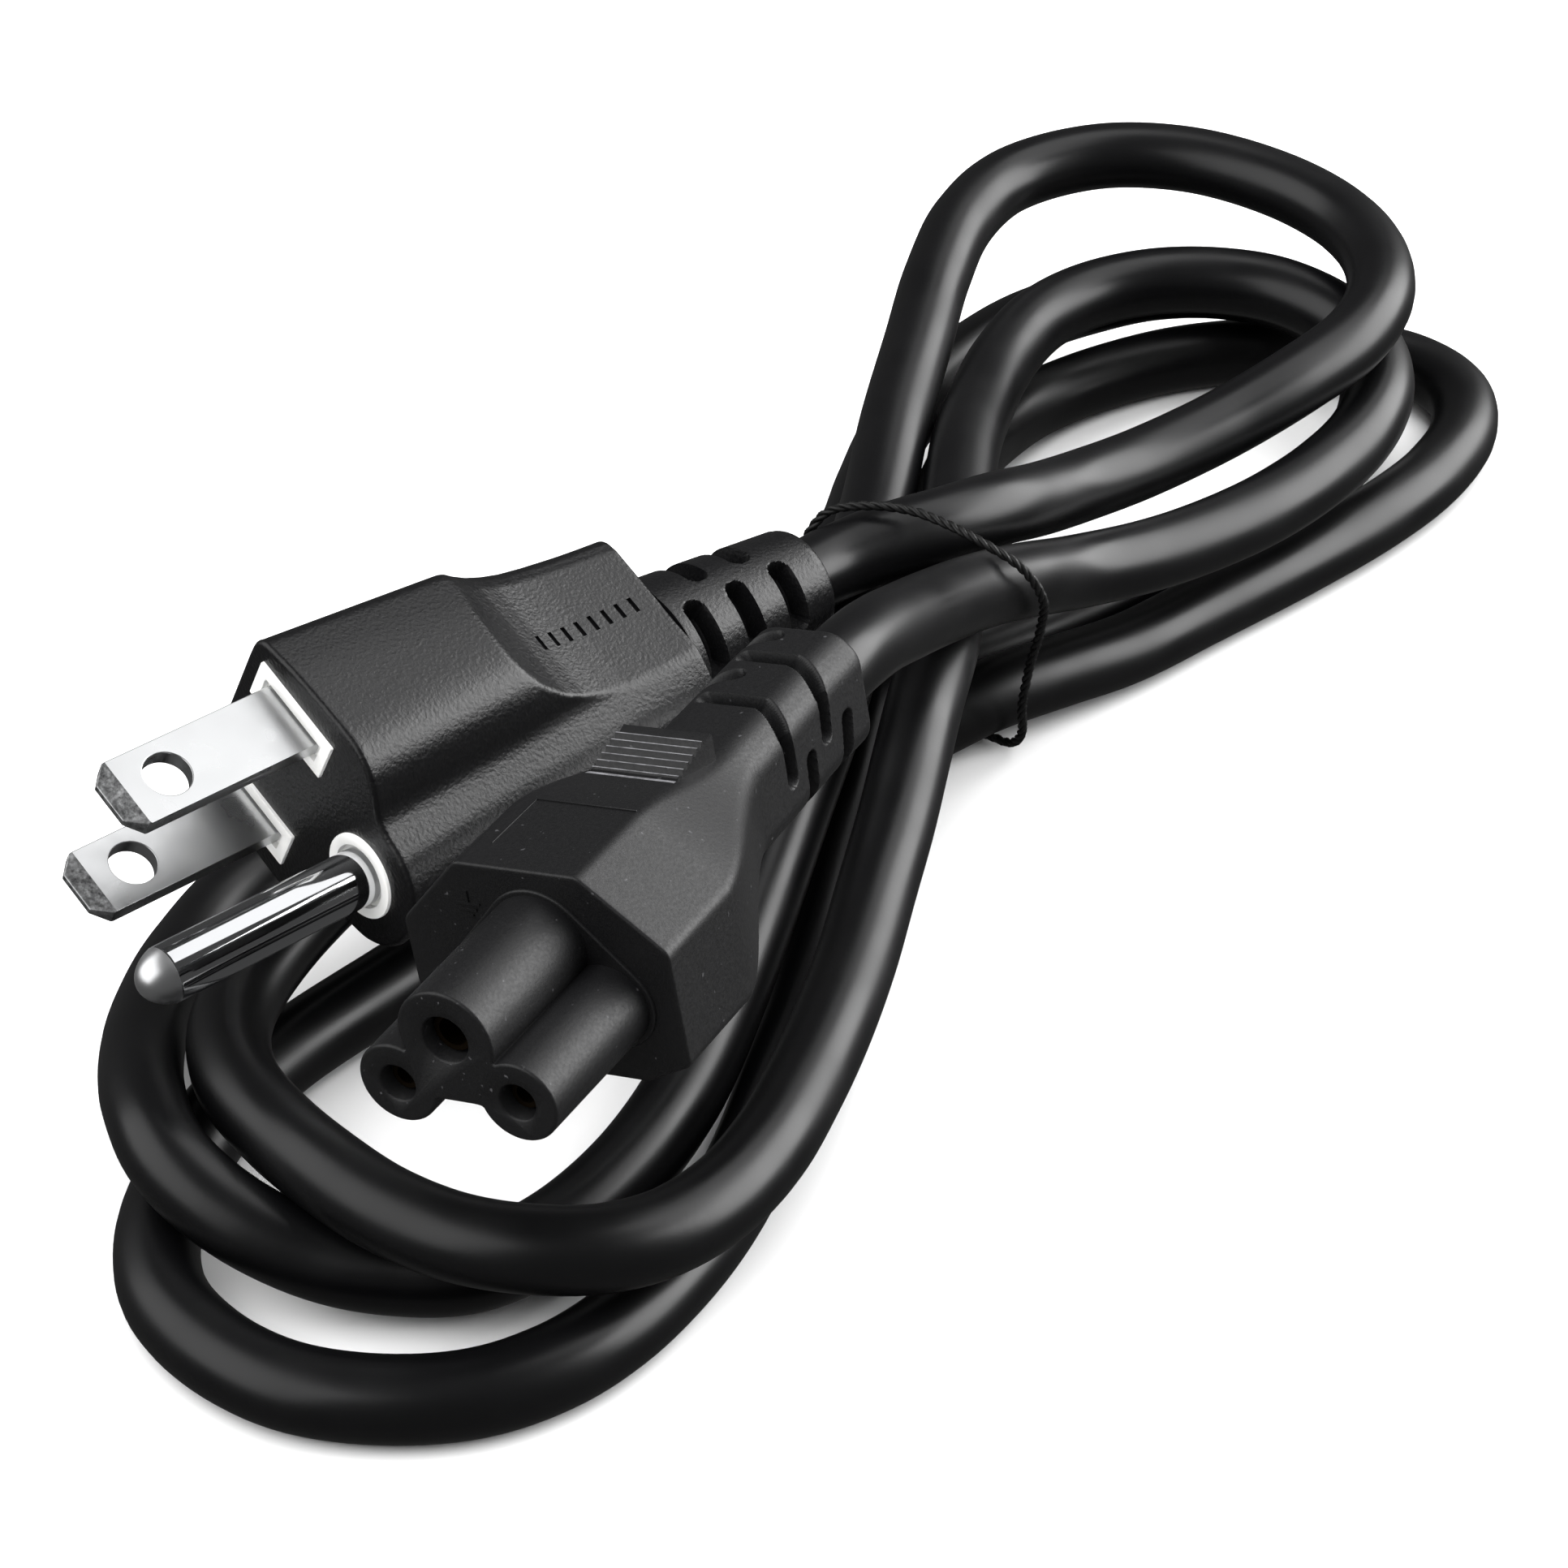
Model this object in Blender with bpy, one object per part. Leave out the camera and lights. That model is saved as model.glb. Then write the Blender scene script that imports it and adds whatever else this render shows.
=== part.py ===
# Cloverleaf power cord: a three-pin plug, a round lead wound in a figure-eight hank with a wire tie,
# and a three-hole cloverleaf connector. Sizes are in millimetres, turned into metres at the vertices.
import math

import bpy
import numpy as np
from mathutils import Vector

for leftover in list(bpy.data.objects):
    bpy.data.objects.remove(leftover, do_unlink=True)

mm = 0.001
gap = 0.3  # clearance between pieces that touch

# Where the middle of the hank lies in the sketch that the routes were drawn in
middle_x = 0.957
middle_y = -1.245

# Lead
cord_diameter = 6.8
cord_sides_resolution = 3
cord_bow = 1.15  # how far a straight run of the tube may stray from the bend

# Plug: its origin is the end of the strain relief, its first axis runs to the blades
plug_end = (-4.4, 2.6, 22.9)
plug_axis = (-0.999, 0.029, 0.038)
plug_up = (0.021, -0.440, 0.898)
plug_length = 53.9  # relief end to face
plug_relief_length = 17.4
plug_relief_end_radius = 5.1
plug_relief_root_radius = 6.3
plug_half_height = 10.8  # block, at the face
plug_back_half_height = 9.8
plug_waist_half_height = 6.2
plug_flange_half_height = 5.6
plug_block_length = 18.0
plug_flat_side = -12.35  # flat side, across from the ground pin
plug_ridge_radius = 6.3

# Blades and ground pin
blade_width = 6.35
blade_thickness = 1.5
blade_spacing = 12.7
blade_side = -5.95  # blade line, measured across from the lead's axis
blade_length = 17.9
blade_tip_length = 1.2
blade_tip_width = 4.35
blade_tip_thickness = 0.7
blade_hole_diameter = 3.96
blade_hole_from_face = 12.5
pin_diameter = 4.8
pin_length = 21.9
pin_side = 6.05
pin_dome = 2.4

# Insulating insert with its collars
bridge_depth = 3.0  # face to front of the plate
bridge_thickness = 5.0
collar_width = 9.45
collar_height = 4.05
pin_collar_diameter = 7.4
collar_proud = 0.3

# Connector: its origin is the end of the strain relief, its first axis runs out of the nose
connector_end = (-27.0, -21.0, 33.9)
connector_axis = (-0.957, -0.285, 0.039)
connector_up = (-0.020, 0.200, 0.980)
connector_length = 55.6  # relief end to nose face
nose_length = 13.2
connector_body_length = 10.8  # full section behind the nose
connector_taper_length = 10.0
connector_half_width = 10.8
connector_top = 8.3
connector_bottom = -8.6
connector_relief_half = 5.3
connector_relief_end_half = 4.9
live_spacing = 10.0
live_height = -2.0
earth_height = 2.4
lower_lobe_gap = 3.6  # between the two lower lobes
live_lobe_radius = (live_spacing - lower_lobe_gap) / 2
earth_lobe_radius = 3.9
live_hole_diameter = 2.9
earth_hole_diameter = 3.7
hole_depth = 11.0
sleeve_depth = 1.2
sleeve_length = 8.0
sleeve_wall = 0.4
pad_width = 6.9
pad_front_from_nose = 26.5
pad_back_from_nose = 34.3
pad_front_height = 7.6
pad_back_height = 7.0

# Wire tie
tie_diameter = 1.1

# Lead, from the plug's strain relief to the connector's: right and left loops by turns
cord_route = [
    # out of the plug and over the waist
    (-4.4, 2.6, 22.9), (0.2, 2.4, 22.9), (5.0, 1.1, 23.4), (10.4, -0.9, 23.6), (17.0, -1.8, 22.8),
    (23.0, -1.4, 20.9), (30.0, -0.8, 19.0),
    # top right loop
    (38.5, -1.3, 18.0), (48.0, -2.9, 18.6), (57.5, -4.5, 20.2), (66.0, -4.6, 21.2), (73.3, -2.2, 21.9),
    (79.5, 3.2, 22.2), (83.4, 10.6, 22.3), (84.2, 19.5, 22.6), (81.5, 28.8, 23.0), (75.5, 36.0, 23.0),
    (66.0, 39.6, 22.6), (57.0, 38.0, 22.0), (48.0, 33.5, 20.8), (38.5, 27.4, 19.5), (27.8, 20.5, 18.1),
    # down through the waist to the left
    (17.8, 13.4, 16.9), (7.8, 6.5, 16.6), (-1.2, -0.2, 16.0), (-9.6, -5.6, 14.6), (-18.0, -10.0, 12.0),
    (-27.0, -15.0, 9.8), (-37.0, -20.6, 8.0), (-47.0, -25.6, 6.8),
    # first left loop
    (-56.0, -28.3, 6.0), (-64.5, -28.8, 5.3), (-71.0, -27.0, 4.8), (-75.4, -22.9, 4.8), (-79.0, -18.2, 5.7),
    (-82.1, -12.3, 8.1), (-82.9, -6.0, 10.3), (-80.2, 0.7, 10.5), (-75.3, 7.4, 8.9), (-67.7, 15.0, 6.0),
    # back along the floor under the plug
    (-60.3, 20.4, 4.0), (-52.0, 23.8, 3.4), (-42.5, 23.4, 3.4), (-33.0, 19.6, 3.4), (-23.5, 14.2, 3.4),
    (-14.0, 8.4, 3.4), (-4.0, 2.8, 3.4), (6.0, -1.6, 3.5), (14.0, -4.2, 4.9), (22.0, -6.0, 4.6),
    (30.0, -7.3, 3.8), (40.5, -8.0, 3.4), (54.0, -9.3, 3.4),
    # lowest right loop
    (66.0, -9.8, 3.4), (76.0, -9.0, 3.4), (84.7, -6.2, 3.4), (90.3, -1.4, 3.4), (91.9, 5.0, 3.4),
    (89.7, 11.9, 3.4), (84.2, 18.3, 3.4), (76.5, 24.0, 3.4), (68.0, 27.3, 3.4), (58.5, 28.4, 3.8),
    (48.5, 26.0, 5.4), (38.9, 21.4, 8.0),
    # second crossing to the left
    (30.2, 16.0, 9.6), (20.0, 9.0, 10.2), (10.0, 2.0, 10.5), (2.0, -2.9, 10.4), (-5.0, -7.2, 8.6),
    (-12.0, -11.4, 6.4), (-20.0, -16.4, 4.4), (-29.0, -22.0, 3.4), (-38.2, -27.7, 3.4), (-45.8, -32.1, 3.4),
    # widest left loop, on the floor
    (-52.7, -35.3, 3.4), (-59.9, -37.5, 3.4), (-67.0, -38.6, 3.4), (-73.0, -38.2, 3.4), (-79.0, -36.0, 3.4),
    (-84.4, -31.4, 3.4), (-88.4, -25.1, 3.4), (-89.7, -18.0, 3.4), (-88.6, -11.2, 3.4), (-84.8, -5.6, 3.4),
    (-79.0, -1.2, 3.4), (-71.6, 2.5, 3.4), (-63.5, 4.4, 3.4),
    # a low hump over the run below
    (-51.3, 5.0, 3.4), (-39.0, 5.0, 3.6), (-29.0, 5.6, 5.4), (-20.5, 6.5, 8.9), (-12.0, 7.2, 10.5),
    (-4.0, 7.2, 9.9), (4.0, 6.6, 6.0), (12.2, 5.0, 3.5), (20.6, 2.4, 3.4), (28.1, 1.0, 3.4),
    (37.5, -0.4, 3.4),
    # second right loop
    (47.5, -1.4, 3.6), (58.0, -2.2, 3.8), (68.0, -2.0, 4.5), (75.6, -0.6, 6.0), (80.8, 3.0, 8.0),
    (83.6, 8.6, 9.8), (84.0, 15.4, 10.3), (81.3, 22.7, 10.4), (76.4, 28.5, 10.0), (70.0, 32.5, 9.2),
    (63.0, 34.6, 8.8), (55.0, 34.4, 8.8), (46.0, 32.2, 9.2),
    # third crossing, under the plug
    (36.2, 28.2, 9.8), (26.9, 22.8, 10.2), (18.0, 17.4, 10.4), (8.5, 14.3, 10.4), (-1.5, 13.8, 10.4),
    (-12.0, 14.3, 10.4), (-23.0, 14.4, 10.8), (-33.5, 13.2, 11.6), (-44.0, 11.8, 12.0), (-53.5, 10.2, 11.4),
    # inner left loop
    (-61.2, 8.1, 10.6), (-66.7, 5.4, 10.4), (-70.8, 1.8, 10.8), (-73.9, -3.2, 11.2), (-75.6, -9.6, 11.6),
    (-76.4, -16.4, 12.0), (-76.2, -23.2, 12.0), (-74.6, -29.5, 12.0), (-71.6, -34.5, 12.0),
    (-67.5, -38.0, 11.6), (-62.5, -39.6, 11.0), (-56.5, -39.6, 10.6),
    # last crossing to the right
    (-50.0, -38.0, 10.4), (-43.0, -35.0, 10.3), (-35.9, -31.4, 10.3), (-27.9, -26.8, 10.5),
    (-20.9, -22.5, 11.5), (-14.4, -18.7, 13.2), (-8.8, -15.2, 14.9), (-2.9, -11.4, 16.1),
    (4.3, -6.8, 16.6), (12.6, -0.5, 16.6), (21.9, 7.2, 16.8),
    # third right loop
    (30.8, 14.1, 16.8), (38.8, 19.2, 16.0), (47.3, 23.7, 15.6), (55.4, 26.0, 15.8), (62.6, 25.4, 16.0),
    (68.7, 22.4, 16.2), (73.4, 17.8, 16.2), (76.4, 12.4, 16.0), (77.2, 6.2, 15.4), (75.3, -0.2, 14.7),
    (70.0, -5.6, 14.2), (62.5, -9.0, 13.8), (54.2, -10.4, 13.6), (46.1, -10.6, 13.6),
    # up to the connector
    (38.0, -10.0, 14.0), (30.0, -9.0, 14.9), (21.0, -7.8, 16.8), (12.8, -8.6, 20.1), (5.2, -9.9, 23.1),
    (-2.5, -12.2, 26.3), (-10.2, -15.2, 29.8), (-16.4, -17.5, 32.3), (-22.2, -19.55, 33.65),
    (-27.0, -21.0, 33.9),
]

# Wire tie, round the lead beside both strain reliefs and under the runs on the floor
tie_route = [
    (0.6, 6.7, 22.8), (1.9, 5.0, 26.3), (3.6, 1.8, 27.6), (5.4, -1.6, 27.8), (6.0, -5.2, 27.8),
    (6.2, -8.9, 27.6), (7.7, -12.7, 25.8), (9.7, -13.7, 22.0), (11.2, -12.4, 17.6), (11.8, -10.8, 12.4),
    (12.2, -9.8, 7.6), (13.2, -9.0, 3.4), (14.0, -7.0, 1.0), (13.8, -4.0, 0.6), (12.2, -0.8, 0.6),
    (9.5, 2.2, 0.6), (6.6, 6.2, 0.6), (5.2, 9.4, 1.4), (4.6, 10.9, 5.0), (4.2, 10.1, 9.0),
    (3.8, 9.9, 12.4), (2.5, 8.9, 17.0), (1.0, 7.6, 20.4),
]


def material(name, colour, metallic, roughness):
    made = bpy.data.materials.new(name)
    made.use_nodes = True
    shader = made.node_tree.nodes["Principled BSDF"]
    shader.inputs["Base Color"].default_value = (*colour, 1.0)
    shader.inputs["Metallic"].default_value = metallic
    shader.inputs["Roughness"].default_value = roughness
    return made


cord_pvc = material("black cord PVC", (0.012, 0.012, 0.013), 0.0, 0.35)
plug_pvc = material("black plug PVC", (0.014, 0.014, 0.015), 0.0, 0.45)
connector_pvc = material("black connector PVC", (0.015, 0.015, 0.016), 0.0, 0.5)
white_nylon = material("white nylon", (0.75, 0.75, 0.73), 0.0, 0.4)
plated = material("nickel plated brass", (0.66, 0.65, 0.62), 1.0, 0.22)
contact_metal = material("contact bronze", (0.55, 0.42, 0.24), 1.0, 0.35)
tie_coat = material("black tie coating", (0.01, 0.01, 0.01), 0.0, 0.5)


def axes(end, first, up):
    """Origin and three unit axes: along the piece, across it and up."""
    along = Vector(first).normalized()
    up_axis = Vector(up)
    up_axis = (up_axis - along * up_axis.dot(along)).normalized()
    across = up_axis.cross(along)
    return Vector(end), along, across, up_axis


plug_frame = axes(plug_end, plug_axis, plug_up)
connector_frame = axes(connector_end, connector_axis, connector_up)


def place(frame, s, q, u):
    """A point s along, q across and u up from the end of a strain relief, in metres."""
    end, along, across, up_axis = frame
    point = end + along * s + across * q + up_axis * u - Vector((middle_x, middle_y, 0.0))
    return point * mm


def add(name, verts, faces, mat, smooth=False):
    mesh = bpy.data.meshes.new(name)
    mesh.from_pydata([tuple(v) for v in verts], [], faces)
    mesh.update()
    if smooth:
        mesh.shade_smooth()
    piece = bpy.data.objects.new(name, mesh)
    bpy.context.collection.objects.link(piece)
    if mat is not None:
        mesh.materials.append(mat)
    return piece


def volume_of(verts, faces):
    total = 0.0
    for face in faces:
        for k in range(1, len(face) - 1):
            a, b, c = verts[face[0]], verts[face[k]], verts[face[k + 1]]
            total += a.dot(b.cross(c)) / 6.0
    return total


def loft(name, frame, rings, mat, smooth=False):
    """A closed solid through rings of (s, [(q, u), ...]), each with the same number of points."""
    count = len(rings[0][1])
    verts = [place(frame, s, q, u) for s, ring in rings for q, u in ring]
    faces = []
    for r in range(len(rings) - 1):
        for k in range(count):
            n = (k + 1) % count
            faces.append((r * count + k, r * count + n, (r + 1) * count + n, (r + 1) * count + k))
    faces.append(tuple(reversed(range(count))))
    faces.append(tuple((len(rings) - 1) * count + k for k in range(count)))
    if volume_of(verts, faces) < 0:
        faces = [tuple(reversed(face)) for face in faces]
    return add(name, verts, faces, mat, smooth)


def prism(name, frame, start, stop, outline, mat, smooth=False):
    return loft(name, frame, [(start, outline), (stop, outline)], mat, smooth)


def circle(q, u, radius, sides=24):
    return [
        (q + radius * math.cos(2 * math.pi * k / sides), u + radius * math.sin(2 * math.pi * k / sides))
        for k in range(sides)
    ]


def box_outline(q, u, width, height):
    return [
        (q - width / 2, u - height / 2),
        (q + width / 2, u - height / 2),
        (q + width / 2, u + height / 2),
        (q - width / 2, u + height / 2),
    ]


def combine(target, other, operation):
    """Cuts with or joins a helper solid, which is hidden afterwards."""
    other.hide_render = True
    other.display_type = "WIRE"
    step = target.modifiers.new(operation.lower() + " " + other.name, "BOOLEAN")
    step.operation = operation
    step.solver = "EXACT"
    step.object = other


def smooth_curve(points, step, closed=False):
    """Centripetal Catmull-Rom curve through the points, read about every step millimetres."""
    p = np.array(points, float)
    if closed:
        p = np.vstack([p[-1], p, p[0], p[1]])
    else:
        p = np.vstack([2 * p[0] - p[1], p, 2 * p[-1] - p[-2]])
    out = []
    for i in range(1, len(p) - 2):
        p0, p1, p2, p3 = p[i - 1], p[i], p[i + 1], p[i + 2]
        t1 = np.linalg.norm(p1 - p0) ** 0.5
        t2 = t1 + np.linalg.norm(p2 - p1) ** 0.5
        t3 = t2 + np.linalg.norm(p3 - p2) ** 0.5
        pieces = max(2, int(round(np.linalg.norm(p2 - p1) / step)))
        for t in np.linspace(t1, t2, pieces, endpoint=False):
            a1 = (t1 - t) / t1 * p0 + t / t1 * p1
            a2 = (t2 - t) / (t2 - t1) * p1 + (t - t1) / (t2 - t1) * p2
            a3 = (t3 - t) / (t3 - t2) * p2 + (t - t2) / (t3 - t2) * p3
            b1 = (t2 - t) / t2 * a1 + t / t2 * a2
            b2 = (t3 - t) / (t3 - t1) * a2 + (t - t1) / (t3 - t1) * a3
            out.append((t2 - t) / (t2 - t1) * b1 + (t - t1) / (t2 - t1) * b2)
    if not closed:
        out.append(p[-2])
    return np.array(out)


def thin_out(curve, bow, shortest, longest):
    """Keeps as few points as let the straight runs stray no more than bow from the curve."""
    kept = [0, 4]
    last = len(curve) - 5
    while kept[-1] < last:
        start = kept[-1]
        best = start + 1
        for end in range(start + 1, last + 1):
            chord = curve[end] - curve[start]
            length = np.linalg.norm(chord)
            if length > longest:
                break
            inner = curve[start:end + 1] - curve[start]
            off = inner - np.outer(inner @ chord / length**2, chord)
            if length > shortest and np.linalg.norm(off, axis=1).max() > bow:
                break
            best = end
        kept.append(best)
    if np.linalg.norm(curve[kept[-1]] - curve[kept[-2]]) < shortest / 2:
        kept.pop(-2)
    kept.append(len(curve) - 1)
    # Corners go half the bow outside the bend, so that the straight runs lie on both sides of it
    bows = []
    for start, end in zip(kept[:-1], kept[1:]):
        chord = curve[end] - curve[start]
        inner = curve[start:end + 1] - curve[start]
        off = inner - np.outer(inner @ chord / (chord @ chord), chord)
        bows.append(np.linalg.norm(off, axis=1).max())
    out = curve[kept].copy()
    for k in range(2, len(kept) - 2):
        before, here, after = curve[kept[k - 1]], curve[kept[k]], curve[kept[k + 1]]
        outward = here - (before + after) / 2
        size = np.linalg.norm(outward)
        if size > 0.05:
            out[k] = here + outward / size * (bows[k - 1] + bows[k]) / 4
    return out


def tube(name, points, diameter, resolution, mat, closed=False):
    curve = bpy.data.curves.new(name, "CURVE")
    curve.dimensions = "3D"
    curve.bevel_depth = diameter / 2 * mm
    curve.bevel_resolution = resolution
    curve.use_fill_caps = not closed
    curve.twist_mode = "MINIMUM"
    spline = curve.splines.new("POLY")
    spline.points.add(len(points) - 1)
    for knot, point in zip(spline.points, points):
        knot.co = ((point[0] - middle_x) * mm, (point[1] - middle_y) * mm, point[2] * mm, 1.0)
    spline.use_cyclic_u = closed
    spline.use_smooth = True
    curve.materials.append(mat)
    piece = bpy.data.objects.new(name, curve)
    bpy.context.collection.objects.link(piece)
    return piece


# Lead: both ends stop a clearance short of the strain reliefs
lead = smooth_curve(cord_route, 1.0)
lead[0] = lead[0] - gap * np.array(plug_axis)
lead[-1] = lead[-1] - gap * np.array(connector_axis)
lead_points = thin_out(lead, cord_bow, 8.0, 2.9 * cord_diameter)
lead_points[:, 2] = np.maximum(lead_points[:, 2], cord_diameter / 2)  # the lowest runs lie on the floor
tube("cord", lead_points, cord_diameter, cord_sides_resolution, cord_pvc)


# Plug body
def plug_section(half_height, flat_side, ridge_middle, ridge_radius):
    """Outline of the moulding: a flat-sided block with a round ridge along the ground pin."""
    h = half_height
    ridge_top = min(ridge_radius, 0.62 * h)
    half = [
        (flat_side, 0.0),
        (flat_side, 0.45 * h),
        (flat_side, 0.76 * h),
        (flat_side + 0.7, 0.91 * h),
        (flat_side + 2.0, h),
        (flat_side + 5.0, h),
        (flat_side + 8.0, h),
        (ridge_middle - 7.1, h),
        (ridge_middle - 4.0, 0.94 * h),
        (ridge_middle - 1.6, 0.74 * h),
        (ridge_middle - 0.2, ridge_top),
    ]
    for angle in (66, 44, 22, 0):
        turn = math.radians(angle)
        half.append((ridge_middle + ridge_radius * math.cos(turn), ridge_top * math.sin(turn)))
    return half + [(q, -u) for q, u in reversed(half[1:-1])]


def relief_section(radius):
    turns = [math.pi * (1 - k / 14) for k in range(15)]
    half = [(radius * math.cos(turn), radius * math.sin(turn)) for turn in turns]
    return half + [(q, -u) for q, u in reversed(half[1:-1])]


block_back = plug_length - plug_block_length
flange_back = plug_relief_length
waist = block_back - 7.0
slope_half_height = (plug_waist_half_height + plug_back_half_height) / 2
plug_rings = [
    (0.0, relief_section(plug_relief_end_radius - 0.7)),
    (0.8, relief_section(plug_relief_end_radius)),
    (flange_back - 0.3, relief_section(plug_relief_root_radius)),
    (flange_back, plug_section(plug_flange_half_height, plug_flat_side + 1.4, 3.4, 4.6)),
    (waist - 3.0, plug_section(plug_waist_half_height - 0.2, plug_flat_side + 1.2, 4.2, 5.0)),
    (waist, plug_section(plug_waist_half_height, plug_flat_side + 1.1, 4.7, 5.3)),
    (waist + 3.5, plug_section(slope_half_height, plug_flat_side + 0.7, 5.2, 5.6)),
    (block_back, plug_section(plug_back_half_height, plug_flat_side + 0.35, 5.6, 5.9)),
    (plug_length - 0.4, plug_section(plug_half_height, plug_flat_side, 6.15, plug_ridge_radius)),
    (plug_length, plug_section(plug_half_height - 0.35, plug_flat_side + 0.35, 6.15, plug_ridge_radius - 0.35)),
]
plug_body = loft("plug_body", plug_frame, plug_rings, plug_pvc, True)

# Insulating insert: a plate inside the moulding with three collars that reach through the face
plate_front = plug_length - bridge_depth
plate_back = plate_front - bridge_thickness


def plate_outline(grow):
    half = [(-10.6 - grow, 8.4 + grow), (1.2, 8.4 + grow), (6.2, 4.4 + grow), (9.8 + grow, 3.0 + grow)]
    return half + [(q, -u) for q, u in reversed(half)]


bridge = prism("contact_bridge", plug_frame, plate_back, plate_front, plate_outline(0.0), white_nylon)
plate_pocket = prism("plate pocket", plug_frame, plate_back - gap, plate_front + gap, plate_outline(gap), None)
combine(plug_body, plate_pocket, "DIFFERENCE")

collars = [
    ("upper", box_outline(blade_side, blade_spacing / 2, collar_width, collar_height)),
    ("lower", box_outline(blade_side, -blade_spacing / 2, collar_width, collar_height)),
    ("pin", circle(pin_side, 0.0, pin_collar_diameter / 2)),
]
pockets = [
    ("upper", box_outline(blade_side, blade_spacing / 2, collar_width + 2 * gap, collar_height + 2 * gap)),
    ("lower", box_outline(blade_side, -blade_spacing / 2, collar_width + 2 * gap, collar_height + 2 * gap)),
    ("pin", circle(pin_side, 0.0, pin_collar_diameter / 2 + gap)),
]
for side, outline in collars:
    stub = prism(side + " collar", plug_frame, plate_front - 1.0, plug_length + collar_proud, outline, None)
    combine(bridge, stub, "UNION")
for side, outline in pockets:
    hole = prism(side + " collar pocket", plug_frame, plate_front - 1.0, plug_length + 2.0, outline, None)
    combine(plug_body, hole, "DIFFERENCE")

# Blades and ground pin, each in its own slot of the insert
blade_root = plate_back + 0.1
blade_tip = plug_length + blade_length
for side, height in (("upper", blade_spacing / 2), ("lower", -blade_spacing / 2)):
    full = box_outline(blade_side, height, blade_width, blade_thickness)
    tip = box_outline(blade_side, height, blade_tip_width, blade_tip_thickness)
    rings = [(blade_root, full), (blade_tip - blade_tip_length, full), (blade_tip, tip)]
    blade = loft("blade_" + side, plug_frame, rings, plated)
    hole_s = plug_length + blade_hole_from_face
    ring = []
    for level in (height - 3.0, height + 3.0):
        for k in range(24):
            turn = 2 * math.pi * k / 24
            reach = blade_hole_diameter / 2
            s = hole_s + reach * math.cos(turn)
            ring.append(place(plug_frame, s, blade_side + reach * math.sin(turn), level))
    faces = [(k, (k + 1) % 24, 24 + (k + 1) % 24, 24 + k) for k in range(24)]
    faces += [tuple(reversed(range(24))), tuple(range(24, 48))]
    if volume_of(ring, faces) < 0:
        faces = [tuple(reversed(face)) for face in faces]
    combine(blade, add(side + " blade hole", ring, faces, None), "DIFFERENCE")
    slot = box_outline(blade_side, height, blade_width + 2 * gap, blade_thickness + 2 * gap)
    blade_slot = prism(side + " blade slot", plug_frame, plate_back - 1.0, plug_length + 2.0, slot, None)
    combine(bridge, blade_slot, "DIFFERENCE")

pin_tip = plug_length + pin_length
pin_radius = pin_diameter / 2
pin_circle = circle(pin_side, 0.0, pin_radius)
pin_rings = [(blade_root, pin_circle), (pin_tip - pin_dome, pin_circle)]
for angle in (25, 50, 72):
    turn = math.radians(angle)
    dome_s = pin_tip - pin_dome + pin_dome * math.sin(turn)
    pin_rings.append((dome_s, circle(pin_side, 0.0, pin_radius * math.cos(turn))))
pin_rings.append((pin_tip, circle(pin_side, 0.0, pin_radius * 0.12)))
loft("ground_pin", plug_frame, pin_rings, plated, True)
wide_circle = circle(pin_side, 0.0, pin_radius + gap)
pin_slot = prism("pin slot", plug_frame, plate_back - 1.0, plug_length + 2.0, wide_circle, None)
combine(bridge, pin_slot, "DIFFERENCE")


# Connector body
def eight_sided(corners):
    """An octagon given by its four right-hand corners from the top down, each edge halved."""
    ring = [(-q, u) for q, u in corners] + [(q, u) for q, u in reversed(corners)]
    out = []
    for k in range(8):
        q1, u1 = ring[k]
        q2, u2 = ring[(k + 1) % 8]
        out += [(q1, u1), ((q1 + q2) / 2, (u1 + u2) / 2)]
    return out


def relief_corners(half):
    return [(0.6 * half, half), (half, 0.6 * half), (half, -0.6 * half), (0.6 * half, -half)]


shoulder_corners = [
    (0.48 * connector_half_width, connector_top),
    (connector_half_width, connector_top - 5.5),
    (connector_half_width, connector_bottom + 1.9),
    (0.65 * connector_half_width, connector_bottom),
]
shoulder = connector_length - nose_length
taper_front = shoulder - connector_body_length
taper_back = taper_front - connector_taper_length
half_corners = [
    (0.4 * a[0] + 0.6 * b[0], 0.4 * a[1] + 0.6 * b[1])
    for a, b in zip(shoulder_corners, relief_corners(connector_relief_half))
]
connector_rings = [
    (0.0, eight_sided(relief_corners(connector_relief_end_half - 0.6))),
    (0.8, eight_sided(relief_corners(connector_relief_end_half))),
    (taper_back, eight_sided(relief_corners(connector_relief_half))),
    (taper_back + 0.45 * connector_taper_length, eight_sided(half_corners)),
    (taper_front, eight_sided(shoulder_corners)),
    (shoulder, eight_sided(shoulder_corners)),
]
connector_body = loft("connector_body", connector_frame, connector_rings, connector_pvc)


def arc(q, u, radius, start, stop, steps):
    """Points on an arc, angles in degrees."""
    turns = [math.radians(start + (stop - start) * k / steps) for k in range(steps + 1)]
    return [(q + radius * math.cos(turn), u + radius * math.sin(turn)) for turn in turns]


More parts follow.
